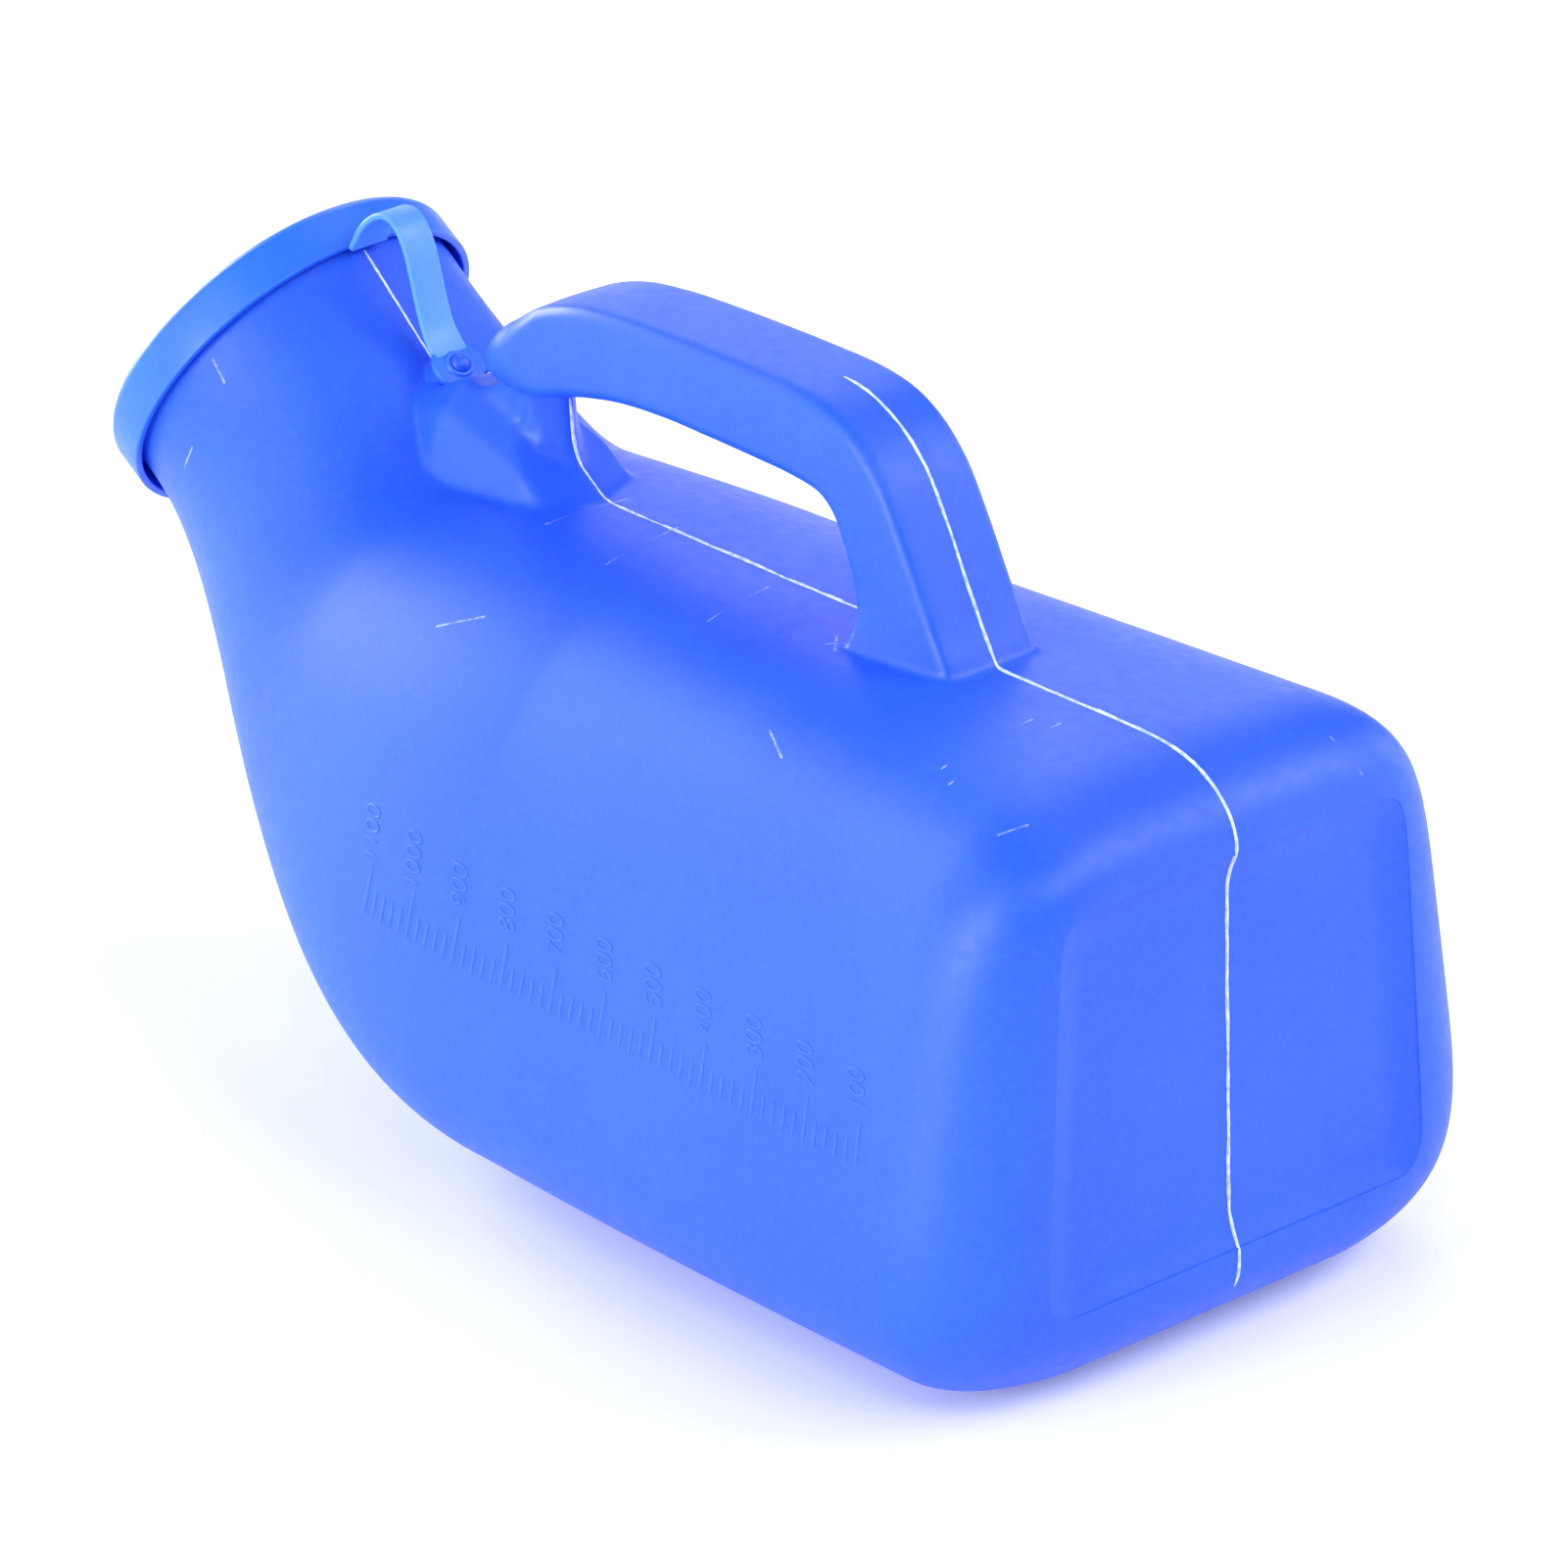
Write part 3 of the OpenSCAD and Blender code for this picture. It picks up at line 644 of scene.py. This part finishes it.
# ---------------------------------------------------------------- materials
class Nodes:
    """A material's node tree; every pattern is placed in the object's own coordinates, in metres."""

    def __init__(self, name):
        self.material = bpy.data.materials.new(name)
        self.material.use_nodes = True
        self.tree = self.material.node_tree
        self.shader = self.tree.nodes["Principled BSDF"]
        self.at = self.add("ShaderNodeTexCoord").outputs["Object"]

    def add(self, kind, **props):
        node = self.tree.nodes.new(kind)
        for key, value in props.items():
            setattr(node, key, value)
        return node

    def link(self, a, b):
        self.tree.links.new(a, b)

    def noise(self, scale, detail=3.0, rough=0.5):
        node = self.add("ShaderNodeTexNoise")
        node.inputs["Scale"].default_value = scale
        node.inputs["Detail"].default_value = detail
        node.inputs["Roughness"].default_value = rough
        self.link(self.at, node.inputs["Vector"])
        return node.outputs["Fac"]

    def ramp(self, value, low, high, to_low=0.0, to_high=1.0):
        """An eased step: to_low below low, to_high above high."""
        node = self.add("ShaderNodeMapRange", interpolation_type="SMOOTHSTEP")
        self.link(value, node.inputs["Value"])
        for key, number in (("From Min", low), ("From Max", high), ("To Min", to_low), ("To Max", to_high)):
            node.inputs[key].default_value = number
        return node.outputs["Result"]

    def math(self, kind, a, b):
        node = self.add("ShaderNodeMath", operation=kind)
        for socket, value in zip(node.inputs, (a, b)):
            if isinstance(value, (int, float)):
                socket.default_value = value
            else:
                self.link(value, socket)
        return node.outputs[0]

    def blend(self, share, a, b):
        """Colour a where share is 0 and b where it is 1."""
        node = self.add("ShaderNodeMix", data_type="RGBA")
        self.link(share, node.inputs[0])
        for socket, value in ((node.inputs[6], a), (node.inputs[7], b)):
            if isinstance(value, tuple):
                socket.default_value = (*value, 1)
            else:
                self.link(value, socket)
        return node.outputs[2]

    def segment(self, a, b, radius):
        """1 on the line from a to b (base millimetres), 0 beyond the radius."""
        a, b = ((np.array(p) + [BASE, 0, 0]) / 1000 for p in (a, b))
        run = b - a
        from_a = self.add("ShaderNodeVectorMath", operation="SUBTRACT")
        self.link(self.at, from_a.inputs[0])
        from_a.inputs[1].default_value = tuple(a)
        dot = self.add("ShaderNodeVectorMath", operation="DOT_PRODUCT")
        self.link(from_a.outputs[0], dot.inputs[0])
        dot.inputs[1].default_value = tuple(run / (run @ run))
        held = self.add("ShaderNodeClamp")
        self.link(dot.outputs["Value"], held.inputs[0])
        back = self.add("ShaderNodeVectorMath", operation="SCALE")
        back.inputs[0].default_value = tuple(run)
        self.link(held.outputs[0], back.inputs["Scale"])
        gap = self.add("ShaderNodeVectorMath", operation="SUBTRACT")
        self.link(from_a.outputs[0], gap.inputs[0])
        self.link(back.outputs[0], gap.inputs[1])
        size = self.add("ShaderNodeVectorMath", operation="LENGTH")
        self.link(gap.outputs[0], size.inputs[0])
        return self.ramp(size.outputs["Value"], 0.0, radius / 1000, 1.0, 0.0)

    def bump(self, height, distance, strength, before=None):
        node = self.add("ShaderNodeBump")
        node.inputs["Distance"].default_value = distance
        node.inputs["Strength"].default_value = strength
        self.link(height, node.inputs["Height"])
        if before is not None:
            self.link(before, node.inputs["Normal"])
        return node.outputs["Normal"]


SCRATCH_HALF = 0.32  # reach of a wear mark to each side of its line
# Short wear marks: rough ends in whole millimetres, which are drawn onto the skin before use.
SCRATCHES = [
    ((141, 12, 96), (139, -3, 96)), ((123, 15, 95), (125, -1, 96)), ((141, 34, 85), (133, 31, 88)),
    ((33, 28, 94), (34, 9, 95)), ((29, 30, 93), (30, 7, 95)), ((205, 26, 109), (202, 26, 106)),
    ((208, 30, 91), (206, 30, 95)), ((76, 12, 95), (73, 9, 96)), ((77, 9, 96), (73, 13, 96)),
    ((96, 18, 95), (98, 4, 96)), ((60, 36, 90), (66, 33, 92)), ((14, 33, 88), (12, 30, 90)),
    ((5, -26, 84), (8, -24, 87)),
]


def satin(name, deep, mid, pale, rough, scratches=(), grain=1.0, glow=0.0):
    """Satin polyethylene: cloudy colour with a pale mottle, uneven gloss, fine grain and worn scratches."""
    n = Nodes(name)
    cloud = n.noise(24, 3, 0.5)
    mottle = n.noise(900, 3, 0.65)
    colour = n.blend(n.ramp(cloud, 0.3, 0.7), deep, mid)
    colour = n.blend(n.ramp(mottle, 0.42, 0.72, 0.0, 0.20), colour, pale)
    roughness = n.math("ADD", n.ramp(n.noise(420, 4, 0.6), 0.25, 0.75, rough - 0.05, rough + 0.06),
                       n.ramp(n.noise(34, 2, 0.5), 0.3, 0.7, -0.02, 0.03))
    if scratches:
        marks = None
        for a, b in scratches:
            one = n.segment(a, b, SCRATCH_HALF)
            marks = one if marks is None else n.math("MAXIMUM", marks, one)
        broken = n.math("MULTIPLY", marks, n.ramp(n.noise(900, 2, 0.6), 0.38, 0.6, 0.3, 1.0))
        colour = n.blend(n.math("MULTIPLY", broken, 0.62), colour, (0.60, 0.72, 1.0))
    n.link(colour, n.shader.inputs["Base Color"])
    n.link(roughness, n.shader.inputs["Roughness"])
    n.shader.inputs["IOR"].default_value = 1.5
    n.shader.inputs["Specular IOR Level"].default_value = 0.45
    n.shader.inputs["Subsurface Weight"].default_value = glow
    n.shader.inputs["Subsurface Radius"].default_value = (0.4, 0.6, 1.0)
    n.shader.inputs["Subsurface Scale"].default_value = 0.002
    fine = n.bump(n.noise(2200, 3, 0.65), 0.00003 * grain, 0.5)
    soft = n.bump(n.noise(60, 2, 0.4), 0.00030, 0.05, fine)
    n.link(soft, n.shader.inputs["Normal"])
    return n.material


MARKS = satin("mark_satin", (0.024, 0.128, 0.90), (0.030, 0.142, 0.92), (0.06, 0.21, 0.97), 0.46)
LID = satin("lid_satin", (0.019, 0.150, 0.86), (0.025, 0.170, 0.89), (0.055, 0.235, 0.95), 0.38,
            grain=0.6, glow=0.12)
# The strap is the lid's plastic painted paler: painted light, standing in for the light that shines through
# the thin strap.
STRAP_LIT = satin("strap_satin_lit_through", (0.085, 0.30, 0.92), (0.10, 0.33, 0.94), (0.16, 0.41, 0.98), 0.40,
              grain=0.6, glow=0.15)


def flash_material():
    """Stress-whitened moulding flash."""
    n = Nodes("flash_white")
    spots = n.noise(700, 3, 0.6)
    colour = n.blend(n.ramp(spots, 0.3, 0.62), (0.36, 0.54, 1.0), (0.76, 0.86, 1.0))
    n.link(colour, n.shader.inputs["Base Color"])
    n.link(n.ramp(n.noise(1500, 2, 0.5), 0.3, 0.7, 0.42, 0.62), n.shader.inputs["Roughness"])
    n.link(n.bump(n.noise(3200, 2, 0.5), 0.00004, 0.6), n.shader.inputs["Normal"])
    return n.material


FLASH = flash_material()


def dress(obj, material, body, slot, *nodes):
    """The piece's material, the body it rides on, its slot, which is not used, and the CAD nodes it replaces.
    """
    obj.data.materials.clear()
    obj.data.materials.append(material)
    if body:
        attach(obj, body)
    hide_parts(*nodes)


# ---------------------------------------------------------------- build the pieces
body, shell_tree = body_piece()
wear = [[tuple(shell_tree.find_nearest(Vector(end))[0]) for end in mark] for mark in SCRATCHES]
BODY = satin("body_satin", (0.014, 0.104, 0.86), (0.018, 0.118, 0.90), (0.045, 0.18, 0.96), 0.44,
             wear, glow=0.10)
dress(body, BODY, "bottle", "body_plastic", "bottle_shell", "neck_shell", "grip_handle", "handle_web")

# Profiles of the rim's bead and of the lid as (radius, height), then the rounding at each corner.
RIM = [(28.1, -0.4), (29.5, -0.02), (29.5, 4.5), (29.78, 5.2), (29.78, 6.2), (29.1, 6.8), (28.4, 6.8),
       (28.1, 6.4)]
RIM_ROUND = [0, 0.02, 0.5, 0.3, 0.35, 0.3, 0.3, 0.2]
rim = at_mouth(rounded(RIM, RIM_ROUND, 4, True), 192, "mouth_rim", True)
dress(rim, BODY, "bottle", "body_plastic", "neck_rim")

CAP = [(0.01, 6.3), (24.2, 6.3), (24.45, 4.55), (25.2, 4.55), (25.45, 6.9), (30.0, 6.9), (30.6, 6.3),
       (30.6, 0.0), (31.8, 0.0), (31.8, 7.2), (30.35, 8.6), (27.6, 8.6), (26.7, 7.8), (0.01, 7.8)]
CAP_ROUND = [0, 0.4, 0.3, 0.3, 0.4, 0.4, 0.4, 0.3, 0.35, 1.3, 1.0, 0.8, 0.7, 0]
cap = at_mouth(rounded(CAP, CAP_ROUND, 6), 224, "lid_cap_moulding")
dress(cap, LID, "lid", "lid_plastic", "lid_cap")

# The strap is cut in two at this height. The foot bends from bottle to tether, the arch from tether to lid.
SPLIT_Z = 120.6
strap_line = even(smooth_flat(LEG, 12), 0.45)
split = int(np.argmin(np.abs(strap_line[:, 1] - SPLIT_Z)))
length = np.linspace(0, 1, len(strap_line))
width = STRAP_W + 0.6 * np.exp(-(length / 0.10) ** 2) + 1.4 * np.exp(-((1 - length) / 0.16) ** 2)
upper = strap_piece("strap_arch", strap_line[split:], width[split:])
dress(upper, STRAP_LIT, None, "lid_plastic", "tether_strap", "lid_strap_tab")
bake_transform(upper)
lower = strap_piece("strap_foot", strap_line[:split + 1], width[:split + 1])
dress(lower, STRAP_LIT, None, "lid_plastic", "tether_eyelet")
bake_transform(lower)


def stud_frame(points):
    """Points (along, across, above) on the neck's slope at the stud, to base millimetres."""
    p = np.asarray(points, float)
    return np.stack([STUD[0] + p[:, 0] * AWAY[0] + p[:, 2] * NORMAL[0], p[:, 1],
                     STUD[1] + p[:, 0] * AWAY[1] + p[:, 2] * NORMAL[1]], 1)


def at_stud(name, profile, segments, angle, closed=False):
    """Profile points are (radius, height above the stud's foot)."""
    turn = 2 * np.pi * np.arange(segments) / segments
    rows = [stud_frame(np.stack([r * np.cos(turn), r * np.sin(turn), np.full(segments, h)], 1))
            for r, h in profile]
    return turned(name, rows, angle, closed)


EYELET = [(1.45, -1.05), (4.5, -1.05), (4.5, 0.0), (2.45, 0.0), (2.3, 0.42), (1.85, 0.45), (1.45, 0.1)]
EYELET_ROUND = [0.1, 0.25, 0.38, 0.15, 0.12, 0.12, 0.1]
eyelet = at_stud("eyelet_ring", rounded(EYELET, EYELET_ROUND, 4, True), 96, 40, True)
dress(eyelet, LID, "bottle", "lid_plastic", "tether_eyelet")
DOME = [(0.01, -1.1), (1.34, -1.1), (1.34, 0.06), (1.6, 0.1), (1.55, 0.55), (1.1, 1.15), (0.01, 1.5)]
DOME_ROUND = [0, 0.1, 0.1, 0.1, 0.4, 0.5, 0]
dome = at_stud("stud_dome", rounded(DOME, DOME_ROUND, 5), 72, 35)
dress(dome, BODY, "bottle", "body_plastic", "tether_stud")


# ---------------------------------------------------------------- parting line
def tree_of(obj):
    """The mesh as a search tree in base millimetres."""
    return BVHTree.FromPolygons(points_of(obj).tolist(), [tuple(p.vertices) for p in obj.data.polygons])


def on_skin(tree, guide, side):
    """Slides a guide line in the middle plane onto the skin, looking from its outer side."""
    line = even(guide, 0.45)
    tangent = np.gradient(line, axis=0)
    tangent /= np.linalg.norm(tangent, axis=1)[:, None]
    out = side * np.stack([-tangent[:, 1], tangent[:, 0]], 1)
    hits = []
    for p, o in zip(line, out):
        start = Vector((p[0] + o[0] * 5, 0.01, p[1] + o[1] * 5))
        hit, normal, _, _ = tree.ray_cast(start, Vector((-o[0], 0, -o[1])), 9.0)
        if hit is not None:
            hits.append((hit.x, hit.z, normal.x, normal.z))
    return np.array(hits)


def calm(v):
    """A run of pairs, smoothed along its length."""
    padded = np.concatenate([v[:1]] * 2 + [v] + [v[-1:]] * 2)
    return np.stack([np.convolve(padded[:, k], np.array([1, 2, 3, 2, 1]) / 9.0, "valid") for k in (0, 1)], 1)


def ridge(name, hits, width, height, rough):
    """A ragged raised line; width is to each side, and rough is how uneven it is."""
    p, normal = calm(hits[:, :2]), calm(hits[:, 2:])
    normal /= np.linalg.norm(normal, axis=1)[:, None]
    n = len(p)
    wobble = np.convolve(rng.normal(size=n + 8), np.ones(9) / 3, "valid")
    spike = np.maximum(rng.normal(size=n) - 1.6, 0)
    w = width * (1 + rough * 0.25 * wobble)
    h = height * (1 + rough * 0.4 * wobble + rough * 0.9 * spike)
    fade = np.minimum(np.minimum(np.arange(n), np.arange(n)[::-1]) / 6.0, 1)
    w, h = w * mix(0.45, 1, fade), np.maximum(h, 0.08) * mix(0.2, 1, fade)
    sway = 0.05 * np.convolve(rng.normal(size=n + 14), np.ones(15) / 4, "valid")
    rows = []
    for k in range(n):
        section = [(-w[k], -0.22), (-w[k] * 0.92, 0.02), (-w[k] * 0.45, h[k] * 0.82), (0, h[k]),
                   (w[k] * 0.45, h[k] * 0.82), (w[k] * 0.92, 0.02), (w[k], -0.22)]
        rows.append([(p[k, 0] + normal[k, 0] * d, y + sway[k], p[k, 1] + normal[k, 1] * d)
                     for y, d in section])
    return turned(name, rows, 60)


body_tree = tree_of(body)
web_run = [(148.4, 111.4), (148.1, 108.4), (147.6, 105.2), (146.6, 102.6), (144.8, 100.3), (142.4, 98.2),
           (139.6, 96.4), (136.4, top_z(136.4))]
web_run = [tuple(q) for q in smooth_flat(web_run, 6)]
web_run += [(x, top_z(x)) for x in np.linspace(133.6, 74.0, 16)]
grip_run = [tuple(q) for q in smooth_flat([g[:2] for g in GRIP[10:18]], 6)]
base_run = [(x, top_z(x)) for x in np.linspace(52.2, 19.6, 12)]
base_run += [tuple(round_ring(math.radians(a), 0, 0, 256)[64][[0, 2]]) for a in range(87, 8, -6)]
base_run += [(panel_sink(g), PANEL_HIGH - g) for g in (-0.6, 0.2, 1.5, 3, 5, 7, 10)]
base_run += [(panel_sink(g), PANEL_LOW + g) for g in (10, 7, 5, 3, 1.5, 0.2, -1.4)]
base_run += [(0.2, 14.0), (0.65, 11.8), (1.15, 10.7)]
neck_run = [tuple(mix(FILLET_OUT, LIP_HIGH, u)) for u in (0.27, 0.6, 0.995)]
nose_run = [(165.4, 109.3), (167.0, 108.6), (168.9, 107.5)]
belly_run = [tuple(low_line(t)) for t in np.linspace(0.04, 0.995, 40)]
# Part of the line, its guide, which side of the guide is out, half width, height and raggedness.
for part, guide, side, width, height, rough in (
        ("neck", neck_run, 1, 0.25, 0.22, 0.35), ("top", web_run, -1, 0.27, 0.25, 0.75),
        ("grip", grip_run, -1, 0.32, 0.26, 0.35), ("base", base_run, -1, 0.33, 0.26, 0.35),
        ("nose", nose_run, 1, 0.30, 0.42, 0.9), ("belly", belly_run, -1, 0.26, 0.2, 0.35)):
    piece = ridge("parting_line_" + part, on_skin(body_tree, guide, side), width, height, rough)
    dress(piece, FLASH, "bottle", "flash_line", "parting_line")

# ---------------------------------------------------------------- raised marks
# Strokes of each digit in a box one across and one high.
DIGITS = {
    "0": [[(0.5, 1), (0.12, 0.86), (0, 0.5), (0.12, 0.14), (0.5, 0), (0.88, 0.14), (1, 0.5), (0.88, 0.86),
           (0.5, 1)]],
    "1": [[(0.2, 0.8), (0.55, 1), (0.55, 0)]],
    "2": [[(0.05, 0.78), (0.25, 0.97), (0.6, 1), (0.93, 0.8), (0.85, 0.52), (0.4, 0.25), (0.02, 0), (1, 0)]],
    "3": [[(0.05, 0.88), (0.45, 1), (0.88, 0.86), (0.85, 0.6), (0.4, 0.52)],
          [(0.4, 0.52), (0.92, 0.42), (0.92, 0.12), (0.45, 0), (0.02, 0.12)]],
    "4": [[(0.7, 0), (0.7, 1), (0.0, 0.3), (1, 0.3)]],
    "5": [[(0.95, 1), (0.15, 1), (0.08, 0.56), (0.5, 0.62), (0.95, 0.45), (0.9, 0.1), (0.4, 0),
           (0.02, 0.12)]],
    "6": [[(0.85, 0.95), (0.4, 0.92), (0.05, 0.55), (0.08, 0.15), (0.5, 0), (0.92, 0.15), (0.9, 0.48),
           (0.5, 0.58), (0.08, 0.42)]],
    "7": [[(0.02, 1), (1, 1), (0.4, 0)]],
    "8": [[(0.5, 0.54), (0.1, 0.7), (0.2, 0.94), (0.5, 1), (0.8, 0.94), (0.9, 0.7), (0.5, 0.54), (0.04, 0.34),
           (0.12, 0.08), (0.5, 0), (0.88, 0.08), (0.96, 0.34), (0.5, 0.54)]],
    "9": [[(0.15, 0.05), (0.6, 0.08), (0.95, 0.45), (0.92, 0.85), (0.5, 1), (0.08, 0.85), (0.1, 0.52),
           (0.5, 0.42), (0.92, 0.58)]],
}


def wall_at(x, z):
    """The side wall's point and outward normal."""
    hit, normal, _, _ = shell_tree.ray_cast(Vector((x, 90, z)), Vector((0, -1, 0)), 200)
    return np.array(hit), np.array(normal if normal.y > 0 else -normal)


def raised_line(line, half, height, points, faces):
    """A soft-edged raised stroke on the side wall; the line is in (x, z)."""
    line = np.asarray(line, float)
    tangent = np.gradient(line, axis=0)
    tangent /= np.maximum(np.linalg.norm(tangent, axis=1), 1e-9)[:, None]
    n = len(line)
    section = [(-1.0, -0.12), (-0.82, 0.35), (-0.4, 0.92), (0, 1.0), (0.4, 0.92), (0.82, 0.35), (1.0, -0.12)]
    rows = []
    for k in range(n):
        close = min(k, n - 1 - k) / max(n - 1, 1) * n
        grow = math.sqrt(min(close / 2.0 + 0.12, 1))
        row = []
        for s, h in section:
            x = line[k, 0] - tangent[k, 1] * s * half * grow
            z = line[k, 1] + tangent[k, 0] * s * half * grow
            hit, normal = wall_at(x, z)
            row.append(hit + normal * (height * h * min(grow + 0.1, 1) if h > 0 else -0.15))
        rows.append(row)
    p, f = loft(np.array(rows))
    faces.extend(tuple(v + sum(len(q) for q in points) for v in face) for face in f)
    points.append(p)


FIRST, PITCH = 24.3, 11.3  # x of the first long bar, and the step to the next
RISE = 0.035  # slope of the scale towards the mouth
BARS_Z, NUMBERS_Z = 40.6, 52.4
SHORT, LONG = 4.2, 7.4  # lengths of the bars
SPACING, DIGIT_W, DIGIT_H, SLANT = 2.1, 1.45, 3.3, 0.22
BAR_HALF, STROKE_HALF, RAISED = 0.34, 0.25, 0.16  # half widths of the strokes, and how far they stand out


def scale_pieces():
    points, faces = [], []
    for i in range(11):
        for j in range(1 if i == 10 else 5):
            x = FIRST + (i + j / 5) * PITCH
            z = BARS_Z + RISE * (x - FIRST)
            raised_line(even([(x, z), (x, z + (SHORT if j else LONG))], 0.6), BAR_HALF, RAISED, points, faces)
    bars = mesh_object("scale_bars", np.concatenate(points), faces, 60)
    outward(bars)
    points, faces = [], []
    for i in range(11):
        text = str(100 * (i + 1))
        x0 = FIRST + i * PITCH - 0.6
        z0 = NUMBERS_Z + RISE * (i * PITCH) - 1.05 * len(text) + 0.3
        for k, digit in enumerate(text):
            for stroke in DIGITS[digit]:
                path = smooth_flat(stroke, 5) if len(stroke) > 4 else np.array(stroke)
                line = [(x0 - 0.3 + DIGIT_H * v + SLANT * (k * SPACING + DIGIT_W * u),
                         z0 + k * SPACING + DIGIT_W * u) for u, v in path]
                raised_line(even(line, 0.32), STROKE_HALF, RAISED, points, faces)
    numbers = mesh_object("scale_numbers", np.concatenate(points), faces, 60)
    outward(numbers)
    return bars, numbers


for piece in scale_pieces():
    dress(piece, MARKS, "bottle", "body_plastic", "volume_scale")


# ---------------------------------------------------------------- stage
# Name, degrees from +X towards +Y, degrees up, watts, metres across.
LAMPS = [
    ("mouth_low", 0, 12, 53, 1.3), ("mouth_side_low", 45, 12, 5, 1.1), ("side_low", 90, 12, 32, 1.1),
    ("side_high", 90, 40, 6, 1.1), ("mouth_side_high", 45, 40, 4, 1.1), ("base_high", 180, 40, 14, 1.1),
    ("far_base_low", 225, 12, 6, 1.1), ("far_base_high", 225, 40, 17, 1.1), ("far_top", 270, 68, 3.4, 1.1),
    ("far_side_low", 265, 14, 8, 1.1), ("far_low", 315, 12, 4, 1.1), ("far_high", 315, 40, 6, 1.1),
    ("corner_soft", 138, 47, 4, 0.5),
]


def light(name, around, up, power, size):
    """A round soft lamp 2.1 m from a point just above the floor."""
    data = bpy.data.lights.new(name, "AREA")
    data.shape, data.size, data.energy = "DISK", size, power
    lamp = bpy.data.objects.new(name, data)
    a, e = math.radians(around), math.radians(up)
    way = Vector((math.cos(a) * math.cos(e), math.sin(a) * math.cos(e), math.sin(e)))
    lamp.location = way * 2.1 + Vector((0, 0, 0.05))
    lamp.rotation_euler = way.to_track_quat("Z", "Y").to_euler()
    bpy.context.scene.collection.objects.link(lamp)


def stage():
    """A plain pale floor, a faint even world and the lamps."""
    mesh = bpy.data.meshes.new("floor")
    # The floor lies a hair under the bottle, so that the two faces don't fight.
    s, under = 6.0, -0.0003
    corners = [(-s, -s, under), (s, -s, under), (s, s, under), (-s, s, under)]
    mesh.from_pydata(corners, [], [(0, 1, 2, 3)])
    floor = bpy.data.objects.new("floor", mesh)
    bpy.context.scene.collection.objects.link(floor)
    n = Nodes("floor_pale")
    tone = n.blend(n.ramp(n.noise(3, 2), 0.3, 0.7), (0.87, 0.87, 0.87), (0.89, 0.89, 0.89))
    n.link(tone, n.shader.inputs["Base Color"])
    n.shader.inputs["Roughness"].default_value = 0.9
    n.shader.inputs["Specular IOR Level"].default_value = 0.1
    n.shader.inputs["Emission Color"].default_value = (1, 1, 1, 1)
    n.shader.inputs["Emission Strength"].default_value = 0.16
    mesh.materials.append(n.material)

    world = bpy.data.worlds.new("studio")
    world.use_nodes = True
    world.node_tree.nodes["Background"].inputs[0].default_value = (1, 1, 1, 1)
    world.node_tree.nodes["Background"].inputs[1].default_value = 0.04
    bpy.context.scene.world = world
    for lamp in LAMPS:
        light(*lamp)


stage()
bpy.context.scene.view_settings.view_transform = "Standard"
bpy.context.scene.view_settings.look = "None"
